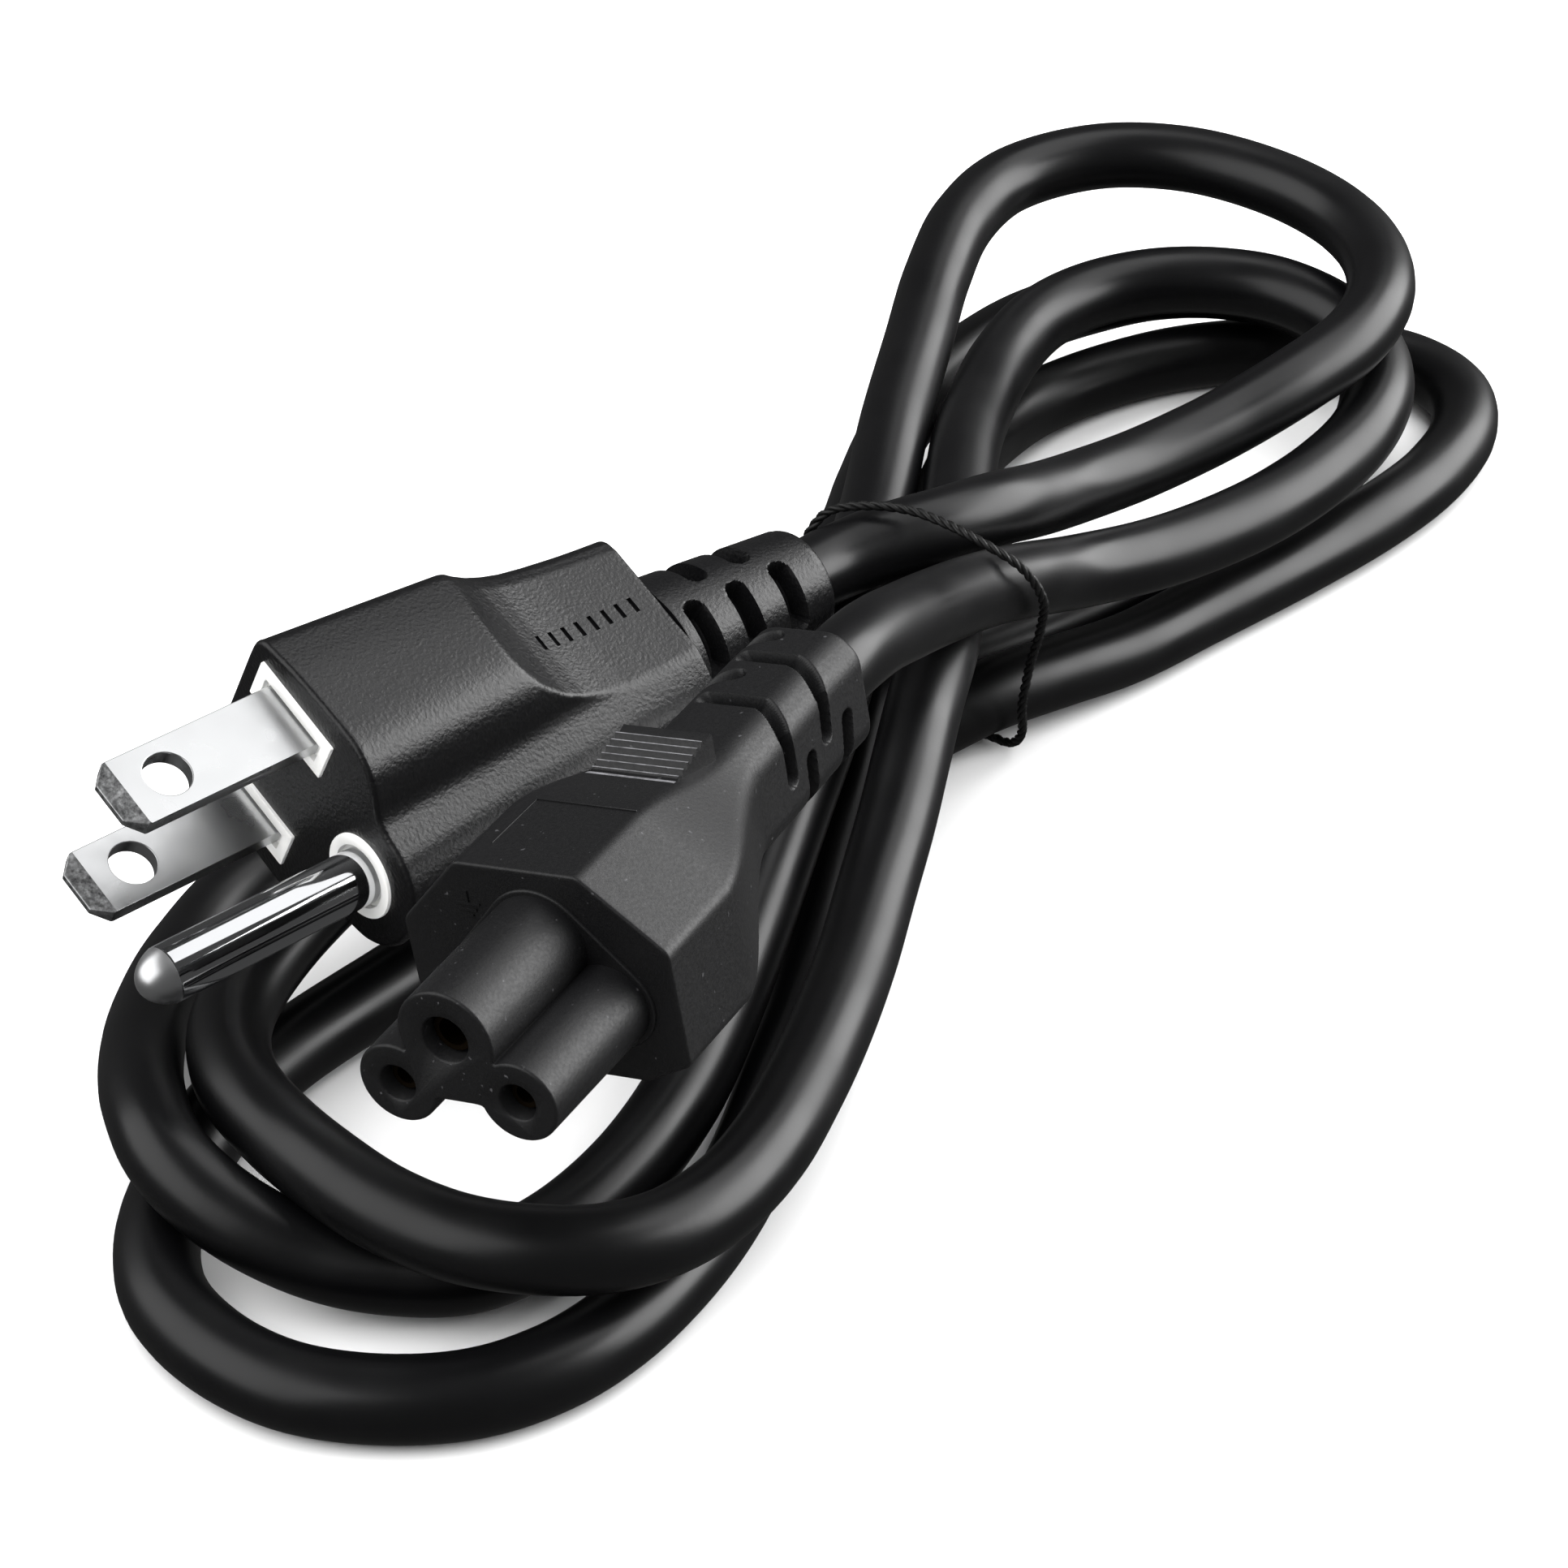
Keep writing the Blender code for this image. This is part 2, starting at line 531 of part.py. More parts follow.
def nose_outline():
    """Cloverleaf: two lower lobes and a larger upper one, joined by a web."""
    side = live_spacing / 2
    rise = earth_height - live_height
    apart = math.hypot(side, rise)
    along = (apart**2 + live_lobe_radius**2 - earth_lobe_radius**2) / (2 * apart)
    slant = math.degrees(math.atan2(rise, -side))
    open_angle = math.degrees(math.acos(along / live_lobe_radius))
    end_live = slant - open_angle
    cross_q = side + live_lobe_radius * math.cos(math.radians(end_live))
    cross_u = live_height + live_lobe_radius * math.sin(math.radians(end_live))
    start_earth = math.degrees(math.atan2(cross_u - earth_height, cross_q))
    web = -0.8
    start_live = math.degrees(math.asin(-web / live_lobe_radius)) + 180
    right = arc(side, live_height, live_lobe_radius, start_live, 360 + end_live, 16)
    top = arc(0.0, earth_height, earth_lobe_radius, start_earth, 180 - start_earth, 16)[1:-1]
    left = [(-q, u) for q, u in reversed(right)]
    return right + top + left


nose = prism("nose", connector_frame, shoulder - 2.0, connector_length, nose_outline(), None, True)
combine(connector_body, nose, "UNION")

pad_front = connector_length - pad_front_from_nose
pad_back = connector_length - pad_back_from_nose
pad_rings = []
for s, height in ((pad_back, pad_back_height), (pad_front, pad_front_height)):
    half_width = pad_width / 2
    pad_rings.append((s, [(-half_width, 2.0), (half_width, 2.0), (half_width, height), (-half_width, height)]))
combine(connector_body, loft("grip pad", connector_frame, pad_rings, None), "UNION")

holes = [
    ("live", live_spacing / 2, live_height, live_hole_diameter),
    ("neutral", -live_spacing / 2, live_height, live_hole_diameter),
    ("earth", 0.0, earth_height, earth_hole_diameter),
]
for role, q, u, diameter in holes:
    bore = prism(role + " bore", connector_frame, connector_length - hole_depth, connector_length + 2.0,
                 circle(q, u, diameter / 2, 20), None)
    combine(connector_body, bore, "DIFFERENCE")
    outer = diameter / 2 - gap
    front = connector_length - sleeve_depth
    sleeve = prism("contact_sleeve_" + role, connector_frame, front - sleeve_length, front,
                   circle(q, u, outer, 20), contact_metal, True)
    inside = prism(role + " sleeve bore", connector_frame, front - sleeve_length + 1.0, front + 2.0,
                   circle(q, u, outer - sleeve_wall, 20), None)
    combine(sleeve, inside, "DIFFERENCE")

# Wire tie
tie_points = smooth_curve(tie_route, 2.0, closed=True)
tube("twist_tie", tie_points, tie_diameter, 2, tie_coat, closed=True)
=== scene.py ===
# Cloverleaf power cord: a black lead wound in a figure-eight hank, with its plug and its connector on top
import math

import bpy
import numpy as np
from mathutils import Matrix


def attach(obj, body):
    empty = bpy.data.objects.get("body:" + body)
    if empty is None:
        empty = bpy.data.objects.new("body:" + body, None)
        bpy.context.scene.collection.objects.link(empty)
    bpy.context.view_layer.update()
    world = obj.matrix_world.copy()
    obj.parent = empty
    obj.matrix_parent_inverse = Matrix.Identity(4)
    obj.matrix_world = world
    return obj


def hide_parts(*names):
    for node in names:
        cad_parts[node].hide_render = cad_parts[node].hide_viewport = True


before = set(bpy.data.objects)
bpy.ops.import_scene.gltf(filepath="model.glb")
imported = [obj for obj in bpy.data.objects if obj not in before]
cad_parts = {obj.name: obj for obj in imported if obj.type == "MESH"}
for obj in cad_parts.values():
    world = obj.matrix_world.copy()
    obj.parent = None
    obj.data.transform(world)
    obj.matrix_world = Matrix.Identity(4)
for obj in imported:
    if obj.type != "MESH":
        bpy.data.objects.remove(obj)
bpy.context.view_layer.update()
print("frame loaded:", len(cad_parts), "nodes")

mm = 0.001
middle = np.array([0.957, -1.245, 0.0])  # middle of the hank, in the millimetres that the routes use

camera = {
    "position": (-0.220957, -0.202755, 0.218),
    "turn": (54.0, 0.0, -46.0),
    "lens": 93.17,
}
cameraData = bpy.data.cameras.new("photoCamera")
cameraData.lens = camera["lens"]
cameraData.sensor_width = 36.0
cameraData.clip_start = 0.01
cameraObject = bpy.data.objects.new("photoCamera", cameraData)
cameraObject.location = camera["position"]
cameraObject.rotation_euler = [math.radians(angle) for angle in camera["turn"]]
bpy.context.collection.objects.link(cameraObject)
bpy.context.scene.camera = cameraObject
print("camera placed")


# Materials: small tools first
def toLinear(hexColour):  # sRGB hex to the linear colour that a shader takes
    channels = [int(hexColour[k:k + 2], 16) / 255 for k in (1, 3, 5)]
    return tuple(c / 12.92 if c <= 0.04045 else ((c + 0.055) / 1.055) ** 2.4 for c in channels) + (1.0,)


def perMetre(sizeInMm):  # texture scale for features of this size
    return 1000.0 / sizeInMm


def addNode(tree, kind, settings=None, links=None):
    node = tree.nodes.new(kind)
    for name, value in (settings or {}).items():
        if name in node.inputs:
            node.inputs[name].default_value = value
        else:
            setattr(node, name, value)
    for name, socket in (links or {}).items():
        tree.links.new(socket, node.inputs[name])
    return node


def newMaterial(name, colour, metallic, roughness, ior=None):
    made = bpy.data.materials.new(name)
    made.use_nodes = True
    tree = made.node_tree
    shader = tree.nodes["Principled BSDF"]
    shader.inputs["Base Color"].default_value = toLinear(colour)
    shader.inputs["Metallic"].default_value = metallic
    shader.inputs["Roughness"].default_value = roughness
    if ior:
        shader.inputs["IOR"].default_value = ior
    place = addNode(tree, "ShaderNodeTexCoord").outputs["Object"]
    return made, tree, shader, place


def spread(tree, source, low, high):  # turns a pattern into a value between low and high
    return addNode(
        tree, "ShaderNodeMapRange",
        {"From Min": 0.3, "From Max": 0.7, "To Min": low, "To Max": high},
        {"Value": source},
    ).outputs["Result"]


def blendColours(tree, factor, first, second):
    mix = addNode(tree, "ShaderNodeMix", {"data_type": "RGBA"})
    tree.links.new(factor, mix.inputs[0])
    mix.inputs[6].default_value = toLinear(first)
    mix.inputs[7].default_value = toLinear(second)
    return mix.outputs[2]


def feed(tree, shader, sources):  # links what each socket of the shader takes
    for name, socket in sources.items():
        tree.links.new(socket, shader.inputs[name])


# Flexible PVC, extruded: a smooth skin that a broad light slides along, a little uneven from handling
def extrudedPvc():
    made, tree, shader, place = newMaterial("extrudedCordPvc", "#060607", 0.0, 0.34, 1.53)
    waves = addNode(tree, "ShaderNodeTexNoise", {"Scale": perMetre(9.0), "Detail": 2.0}, {"Vector": place})
    pores = addNode(tree, "ShaderNodeTexNoise", {"Scale": perMetre(0.45), "Detail": 3.0}, {"Vector": place})
    relief = {"Strength": 0.25, "Distance": 0.02 * mm}
    bump = addNode(tree, "ShaderNodeBump", relief, {"Height": pores.outputs["Fac"]})
    feed(tree, shader, {
        "Base Color": blendColours(tree, waves.outputs["Fac"], "#050506", "#080809"),
        "Roughness": spread(tree, waves.outputs["Fac"], 0.30, 0.40),
        "Normal": bump.outputs["Normal"],
    })
    return made


# PVC moulded in a spark-eroded tool: an even pebble grain that breaks the highlights into fine sparkle
def sparkGrainPvc():
    made, tree, shader, place = newMaterial("sparkGrainPlugPvc", "#0a0a0b", 0.0, 0.33, 1.53)
    pebbles = {"Scale": perMetre(0.31), "Detail": 3.0, "Roughness": 0.55}
    grain = addNode(tree, "ShaderNodeTexNoise", pebbles, {"Vector": place})
    pits = addNode(tree, "ShaderNodeTexVoronoi", {"Scale": perMetre(0.38)}, {"Vector": place})
    height = addNode(tree, "ShaderNodeMath", {"operation": "MULTIPLY_ADD"})
    tree.links.new(pits.outputs["Distance"], height.inputs[0])
    height.inputs[1].default_value = 0.35  # share of the pits
    tree.links.new(grain.outputs["Fac"], height.inputs[2])
    relief = {"Strength": 0.75, "Distance": 0.06 * mm}
    bump = addNode(tree, "ShaderNodeBump", relief, {"Height": height.outputs["Value"]})
    feed(tree, shader, {
        "Base Color": blendColours(tree, grain.outputs["Fac"], "#080809", "#0d0d0e"),
        "Roughness": spread(tree, grain.outputs["Fac"], 0.29, 0.41),
        "Normal": bump.outputs["Normal"],
    })
    return made


# PVC moulded in a finely etched tool: duller and smoother than the plug, with a few specks of lint
def fineMattePvc():
    made, tree, shader, place = newMaterial("fineMatteConnectorPvc", "#0c0c0d", 0.0, 0.48, 1.53)
    grain = addNode(tree, "ShaderNodeTexNoise", {"Scale": perMetre(0.26), "Detail": 2.0}, {"Vector": place})
    lint = addNode(tree, "ShaderNodeTexNoise", {"Scale": perMetre(0.55), "Detail": 1.0}, {"Vector": place})
    specks = addNode(
        tree, "ShaderNodeMapRange", {"From Min": 0.74, "From Max": 0.80, "To Min": 0.0, "To Max": 1.0},
        {"Value": lint.outputs["Fac"]},
    )
    relief = {"Strength": 0.5, "Distance": 0.03 * mm}
    bump = addNode(tree, "ShaderNodeBump", relief, {"Height": grain.outputs["Fac"]})
    feed(tree, shader, {
        "Base Color": blendColours(tree, specks.outputs["Result"], "#0c0c0d", "#3a3a3c"),
        "Roughness": spread(tree, grain.outputs["Fac"], 0.42, 0.54),
        "Normal": bump.outputs["Normal"],
    })
    return made


# The same PVC with a painted highlight for the ridge tops: paler and smoother
def highlightedRidgePvc():
    made, tree, shader, place = newMaterial("connectorRidgeHighlightPvc", "#606062", 0.0, 0.42, 1.53)
    highlightMottle = addNode(tree, "ShaderNodeTexNoise", {"Scale": perMetre(0.8), "Detail": 2.0}, {"Vector": place})
    wearAndHighlight = spread(tree, highlightMottle.outputs["Fac"], 0.0, 1.0)
    feed(tree, shader, {"Base Color": blendColours(tree, wearAndHighlight, "#4c4c4e", "#767679")})
    return made


# Brass strip, rolled and nickel plated: pale metal with faint lines along the blade
def rolledNickel(name, colour, roughness, lines):
    made, tree, shader, place = newMaterial(name, colour, 1.0, roughness)
    along = addNode(tree, "ShaderNodeMapping", {"vector_type": "TEXTURE"}, {"Vector": place})
    along.inputs["Scale"].default_value = (12.0, 1.0, 1.0)
    streaks = {"Scale": perMetre(0.22), "Detail": 3.0}
    rolled = addNode(tree, "ShaderNodeTexNoise", streaks, {"Vector": along.outputs["Vector"]})
    cloud = addNode(tree, "ShaderNodeTexNoise", {"Scale": perMetre(4.0), "Detail": 2.0}, {"Vector": place})
    relief = {"Strength": lines, "Distance": 0.01 * mm}
    bump = addNode(tree, "ShaderNodeBump", relief, {"Height": rolled.outputs["Fac"]})
    feed(tree, shader, {
        "Roughness": spread(tree, cloud.outputs["Fac"], roughness * 0.8, roughness * 1.3),
        "Normal": bump.outputs["Normal"],
    })
    return made


# The same plating where a press cut and coined the tip: grey, with short bright scratches
def coinedNickel():
    made, tree, shader, place = newMaterial("coinedNickel", "#b4b5b6", 1.0, 0.42)
    marks = {"Scale": perMetre(0.55), "Detail": 5.0, "Roughness": 0.7}
    scratches = addNode(tree, "ShaderNodeTexNoise", marks, {"Vector": place})
    wearAndHighlight = spread(tree, scratches.outputs["Fac"], 0.0, 1.0)
    relief = {"Strength": 0.7, "Distance": 0.04 * mm}
    bump = addNode(tree, "ShaderNodeBump", relief, {"Height": scratches.outputs["Fac"]})
    feed(tree, shader, {
        "Base Color": blendColours(tree, wearAndHighlight, "#7c7d7e", "#ecedee"),
        "Roughness": spread(tree, scratches.outputs["Fac"], 0.28, 0.55),
        "Normal": bump.outputs["Normal"],
    })
    return made


# Nylon, injection moulded: white and a little waxy
def whiteNylon():
    made, tree, shader, place = newMaterial("mouldedWhiteNylon", "#f1f1ee", 0.0, 0.38, 1.53)
    shader.inputs["Subsurface Weight"].default_value = 0.15
    shader.inputs["Subsurface Radius"].default_value = (0.8 * mm, 0.8 * mm, 0.7 * mm)
    cloud = addNode(tree, "ShaderNodeTexNoise", {"Scale": perMetre(2.0), "Detail": 2.0}, {"Vector": place})
    feed(tree, shader, {"Base Color": blendColours(tree, cloud.outputs["Fac"], "#ececea", "#f6f6f4")})
    return made


# Contact bronze, stamped and bare, its colour darkened as painted shade for how dark it lies down in its hole
def bronzeInPaintedShade():
    made, tree, shader, place = newMaterial("bronzeInPaintedShade", "#33291c", 1.0, 0.55)
    cloud = addNode(tree, "ShaderNodeTexNoise", {"Scale": perMetre(1.2), "Detail": 3.0}, {"Vector": place})
    feed(tree, shader, {"Base Color": blendColours(tree, cloud.outputs["Fac"], "#2a2217", "#3b3022")})
    return made


# Soft wire in a plastic coat, twisted: dull black
def coatedWire():
    made, tree, shader, place = newMaterial("coatedTieWire", "#0e0e0e", 0.0, 0.45, 1.5)
    fibre = addNode(tree, "ShaderNodeTexNoise", {"Scale": perMetre(0.3), "Detail": 3.0}, {"Vector": place})
    feed(tree, shader, {"Roughness": spread(tree, fibre.outputs["Fac"], 0.35, 0.6)})
    return made


cordPvc = extrudedPvc()
plugPvc = sparkGrainPvc()
connectorPvc = fineMattePvc()
ridgeTopHighlightPvc = highlightedRidgePvc()
bladeNickel = rolledNickel("rolledBladeNickel", "#d6d7d8", 0.30, 0.2)
pinNickel = rolledNickel("polishedPinNickel", "#d4d5d7", 0.07, 0.08)
domeNickel = rolledNickel("pressedPinTipNickel", "#f0f1f2", 0.36, 0.05)
tipNickel = coinedNickel()
nylon = whiteNylon()
bronze = bronzeInPaintedShade()
tieCoat = coatedWire()
print("materials made")


# Shapes: every moulding has its own frame, along it, across it and up
def pieceFrame(end, first, up):
    along = np.array(first, float) / np.linalg.norm(first)
    upAxis = np.array(up, float)
    upAxis = upAxis - along * (upAxis @ along)
    upAxis /= np.linalg.norm(upAxis)
    return np.array(end, float) - middle, along, np.cross(upAxis, along), upAxis


def inFrame(where, s, q, u):
    end, along, across, upAxis = where
    s, q, u = np.broadcast_arrays(s, q, u)
    return (end + s[..., None] * along + q[..., None] * across + u[..., None] * upAxis) * mm


def newPiece(name, verts, faces, mat):
    mesh = bpy.data.meshes.new(name)
    mesh.from_pydata([tuple(v) for v in np.asarray(verts).reshape(-1, 3)], [], faces)
    mesh.update()
    piece = bpy.data.objects.new(name, mesh)
    bpy.context.collection.objects.link(piece)
    if mat:
        mesh.materials.append(mat)
    return piece


def outward(faces, verts):
    total = 0.0
    for face in faces:
        a, b, c = (verts[k] for k in face[:3])
        total += a @ np.cross(b, c)
        if len(face) > 3:
            for k in range(3, len(face)):
                total += a @ np.cross(verts[face[k - 1]], verts[face[k]])
    return faces if total > 0 else [tuple(reversed(face)) for face in faces]


def skin(name, where, rings, mat, capStart=True, capEnd=True):
    # rings: a list of (s, points across and up), each ring with as many points
    count = len(rings[0][1])
    verts = np.concatenate([inFrame(where, np.full(count, s), ring[:, 0], ring[:, 1]) for s, ring in rings])
    faces = []
    for r in range(len(rings) - 1):
        for k in range(count):
            n = (k + 1) % count
            faces.append((r * count + k, r * count + n, (r + 1) * count + n, (r + 1) * count + k))
    last = (len(rings) - 1) * count
    if capStart:
        faces.append(tuple(reversed(range(count))))
    if capEnd:
        faces.append(tuple(last + k for k in range(count)))
    return newPiece(name, verts, outward(faces, verts), mat)


def prism(name, first, second, mat=None):  # joins two outlines that lie side by side
    verts = np.concatenate([first, second])
    n = len(first)
    faces = [(k, (k + 1) % n, n + (k + 1) % n, n + k) for k in range(n)]
    faces += [tuple(reversed(range(n))), tuple(range(n, 2 * n))]
    return newPiece(name, verts, outward(faces, verts), mat)


def applyModifiers(piece):
    evaluated = piece.evaluated_get(bpy.context.evaluated_depsgraph_get())
    mesh = bpy.data.meshes.new_from_object(evaluated)
    old = piece.data
    mesh.materials.clear()  # a cutter may have left an empty slot
    for mat in old.materials:
        mesh.materials.append(mat)
    mesh.polygons.foreach_set("material_index", [0] * len(mesh.polygons))
    piece.modifiers.clear()
    piece.data = mesh
    bpy.data.meshes.remove(old)


def combine(piece, other, operation):
    step = piece.modifiers.new(operation, "BOOLEAN")
    step.operation = operation
    step.solver = "MANIFOLD"
    step.object = other
    applyModifiers(piece)
    bpy.data.objects.remove(other, do_unlink=True)


def softEdges(piece, angle):  # smooth all over, but crisp where faces meet more sharply
    piece.data.shade_smooth()
    piece.data.set_sharp_from_angle(angle=math.radians(angle))


def cornerCut(points, times):  # rounds an open outline by cutting its corners
    points = np.array(points, float)
    for _ in range(times):
        near = 0.75 * points[:-1] + 0.25 * points[1:]
        far = 0.25 * points[:-1] + 0.75 * points[1:]
        inner = np.empty((2 * len(near), 2))
        inner[0::2], inner[1::2] = near, far
        points = np.vstack([points[:1], inner, points[-1:]])
    return points


def evenly(points, count):  # reads an open outline at evenly spaced places
    steps = np.linalg.norm(np.diff(points, axis=0), axis=1)
    reach = np.concatenate([[0.0], np.cumsum(steps)])
    wanted = np.linspace(0.0, reach[-1], count)
    return np.stack([np.interp(wanted, reach, points[:, k]) for k in range(points.shape[1])], 1)


def inset(ring, distance):  # moves a closed ring inwards
    tangent = np.roll(ring, -1, 0) - np.roll(ring, 1, 0)
    tangent /= np.linalg.norm(tangent, axis=1)[:, None]
    normal = np.stack([tangent[:, 1], -tangent[:, 0]], 1)
    middlePoint = ring.mean(0)
    if ((ring - middlePoint) * normal).sum() < 0:
        normal = -normal
    return ring - normal * distance


def smoothStep(x):
    x = np.clip(x, 0.0, 1.0)
    return x * x * (3 - 2 * x)


def smoothRoute(points, step, closed=False):  # centripetal Catmull-Rom curve through the points
    p = np.array(points, float)
    if closed:
        p = np.vstack([p[-1], p, p[0], p[1]])
    else:
        p = np.vstack([2 * p[0] - p[1], p, 2 * p[-1] - p[-2]])
    out = []
    for i in range(1, len(p) - 2):
        p0, p1, p2, p3 = p[i - 1], p[i], p[i + 1], p[i + 2]
        t1 = np.linalg.norm(p1 - p0) ** 0.5
        t2 = t1 + np.linalg.norm(p2 - p1) ** 0.5
        t3 = t2 + np.linalg.norm(p3 - p2) ** 0.5
        pieces = max(2, int(round(np.linalg.norm(p2 - p1) / step)))
        for t in np.linspace(t1, t2, pieces, endpoint=False):
            a1 = (t1 - t) / t1 * p0 + t / t1 * p1
            a2 = (t2 - t) / (t2 - t1) * p1 + (t - t1) / (t2 - t1) * p2
            a3 = (t3 - t) / (t3 - t2) * p2 + (t - t2) / (t3 - t2) * p3
            b1 = (t2 - t) / t2 * a1 + t / t2 * a2
            b2 = (t3 - t) / (t3 - t1) * a2 + (t - t1) / (t3 - t1) * a3
            out.append((t2 - t) / (t2 - t1) * b1 + (t - t1) / (t2 - t1) * b2)
    if not closed:
        out.append(p[-2])
    return np.array(out)


# Lead
lead = {
    "diameter": 6.8,
    "length": 1.456,
    "step": 1.0,
    "sides": 12,
    "tuck": 2.5,  # how far each end runs on inside its strain relief
}
cordRoute = [
    # out of the plug and over the waist
    (-4.4, 2.6, 22.9), (0.2, 2.4, 22.9), (5.0, 1.1, 23.4), (10.4, -0.9, 23.6), (17.0, -1.8, 22.8),
    (23.0, -1.4, 20.9), (30.0, -0.8, 19.0),
    # top right loop
    (38.5, -1.3, 18.0), (48.0, -2.9, 18.6), (57.5, -4.5, 20.2), (66.0, -4.6, 21.2), (73.3, -2.2, 21.9),
    (79.5, 3.2, 22.2), (83.4, 10.6, 22.3), (84.2, 19.5, 22.6), (81.5, 28.8, 23.0), (75.5, 36.0, 23.0),
    (66.0, 39.6, 22.6), (57.0, 38.0, 22.0), (48.0, 33.5, 20.8), (38.5, 27.4, 19.5), (27.8, 20.5, 18.1),
    # down through the waist to the left
    (17.8, 13.4, 16.9), (7.8, 6.5, 16.6), (-1.2, -0.2, 16.0), (-9.6, -5.6, 14.6), (-18.0, -10.0, 12.0),
    (-27.0, -15.0, 9.8), (-37.0, -20.6, 8.0), (-47.0, -25.6, 6.8),
    # first left loop
    (-56.0, -28.3, 6.0), (-64.5, -28.8, 5.3), (-71.0, -27.0, 4.8), (-75.4, -22.9, 4.8), (-79.0, -18.2, 5.7),
    (-82.1, -12.3, 8.1), (-82.9, -6.0, 10.3), (-80.2, 0.7, 10.5), (-75.3, 7.4, 8.9), (-67.7, 15.0, 6.0),
    # back along the floor under the plug
    (-60.3, 20.4, 4.0), (-52.0, 23.8, 3.4), (-42.5, 23.4, 3.4), (-33.0, 19.6, 3.4), (-23.5, 14.2, 3.4),
    (-14.0, 8.4, 3.4), (-4.0, 2.8, 3.4), (6.0, -1.6, 3.5), (14.0, -4.2, 4.9), (22.0, -6.0, 4.6),
    (30.0, -7.3, 3.8), (40.5, -8.0, 3.4), (54.0, -9.3, 3.4),
    # lowest right loop
    (66.0, -9.8, 3.4), (76.0, -9.0, 3.4), (84.7, -6.2, 3.4), (90.3, -1.4, 3.4), (91.9, 5.0, 3.4),
    (89.7, 11.9, 3.4), (84.2, 18.3, 3.4), (76.5, 24.0, 3.4), (68.0, 27.3, 3.4), (58.5, 28.4, 3.8),
    (48.5, 26.0, 5.4), (38.9, 21.4, 8.0),
    # second crossing to the left
    (30.2, 16.0, 9.6), (20.0, 9.0, 10.2), (10.0, 2.0, 10.5), (2.0, -2.9, 10.4), (-5.0, -7.2, 8.6),
    (-12.0, -11.4, 6.4), (-20.0, -16.4, 4.4), (-29.0, -22.0, 3.4), (-38.2, -27.7, 3.4), (-45.8, -32.1, 3.4),
    # widest left loop, on the floor
    (-52.7, -35.3, 3.4), (-59.9, -37.5, 3.4), (-67.0, -38.6, 3.4), (-73.0, -38.2, 3.4), (-79.0, -36.0, 3.4),
    (-84.4, -31.4, 3.4), (-88.4, -25.1, 3.4), (-89.7, -18.0, 3.4), (-88.6, -11.2, 3.4), (-84.8, -5.6, 3.4),
    (-79.0, -1.2, 3.4), (-71.6, 2.5, 3.4), (-63.5, 4.4, 3.4),
    # a low hump over the run below
    (-51.3, 5.0, 3.4), (-39.0, 5.0, 3.6), (-29.0, 5.6, 5.4), (-20.5, 6.5, 8.9), (-12.0, 7.2, 10.5),
    (-4.0, 7.2, 9.9), (4.0, 6.6, 6.0), (12.2, 5.0, 3.5), (20.6, 2.4, 3.4), (28.1, 1.0, 3.4),
    (37.5, -0.4, 3.4),
    # second right loop
    (47.5, -1.4, 3.6), (58.0, -2.2, 3.8), (68.0, -2.0, 4.5), (75.6, -0.6, 6.0), (80.8, 3.0, 8.0),
    (83.6, 8.6, 9.8), (84.0, 15.4, 10.3), (81.3, 22.7, 10.4), (76.4, 28.5, 10.0), (70.0, 32.5, 9.2),
    (63.0, 34.6, 8.8), (55.0, 34.4, 8.8), (46.0, 32.2, 9.2),
    # third crossing, under the plug
    (36.2, 28.2, 9.8), (26.9, 22.8, 10.2), (18.0, 17.4, 10.4), (8.5, 14.3, 10.4), (-1.5, 13.8, 10.4),
    (-12.0, 14.3, 10.4), (-23.0, 14.4, 10.8), (-33.5, 13.2, 11.6), (-44.0, 11.8, 12.0), (-53.5, 10.2, 11.4),
    # inner left loop
    (-61.2, 8.1, 10.6), (-66.7, 5.4, 10.4), (-70.8, 1.8, 10.8), (-73.9, -3.2, 11.2), (-75.6, -9.6, 11.6),
    (-76.4, -16.4, 12.0), (-76.2, -23.2, 12.0), (-74.6, -29.5, 12.0), (-71.6, -34.5, 12.0),
    (-67.5, -38.0, 11.6), (-62.5, -39.6, 11.0), (-56.5, -39.6, 10.6),
    # last crossing to the right
    (-50.0, -38.0, 10.4), (-43.0, -35.0, 10.3), (-35.9, -31.4, 10.3), (-27.9, -26.8, 10.5),
    (-20.9, -22.5, 11.5), (-14.4, -18.7, 13.2), (-8.8, -15.2, 14.9), (-2.9, -11.4, 16.1),
    (4.3, -6.8, 16.6), (12.6, -0.5, 16.6), (21.9, 7.2, 16.8),
    # third right loop
    (30.8, 14.1, 16.8), (38.8, 19.2, 16.0), (47.3, 23.7, 15.6), (55.4, 26.0, 15.8), (62.6, 25.4, 16.0),
    (68.7, 22.4, 16.2), (73.4, 17.8, 16.2), (76.4, 12.4, 16.0), (77.2, 6.2, 15.4), (75.3, -0.2, 14.7),
    (70.0, -5.6, 14.2), (62.5, -9.0, 13.8), (54.2, -10.4, 13.6), (46.1, -10.6, 13.6),
    # up to the connector
    (38.0, -10.0, 14.0), (30.0, -9.0, 14.9), (21.0, -7.8, 16.8), (12.8, -8.6, 20.1), (5.2, -9.9, 23.1),
    (-2.5, -12.2, 26.3), (-10.2, -15.2, 29.8), (-16.4, -17.5, 32.3), (-22.2, -19.55, 33.65),
    (-27.0, -21.0, 33.9),
]
plugFrame = pieceFrame((-4.4, 2.6, 22.9), (-0.999, 0.029, 0.038), (0.021, -0.440, 0.898))
connectorFrame = pieceFrame((-27.0, -21.0, 33.9), (-0.957, -0.285, 0.039), (-0.020, 0.200, 0.980))

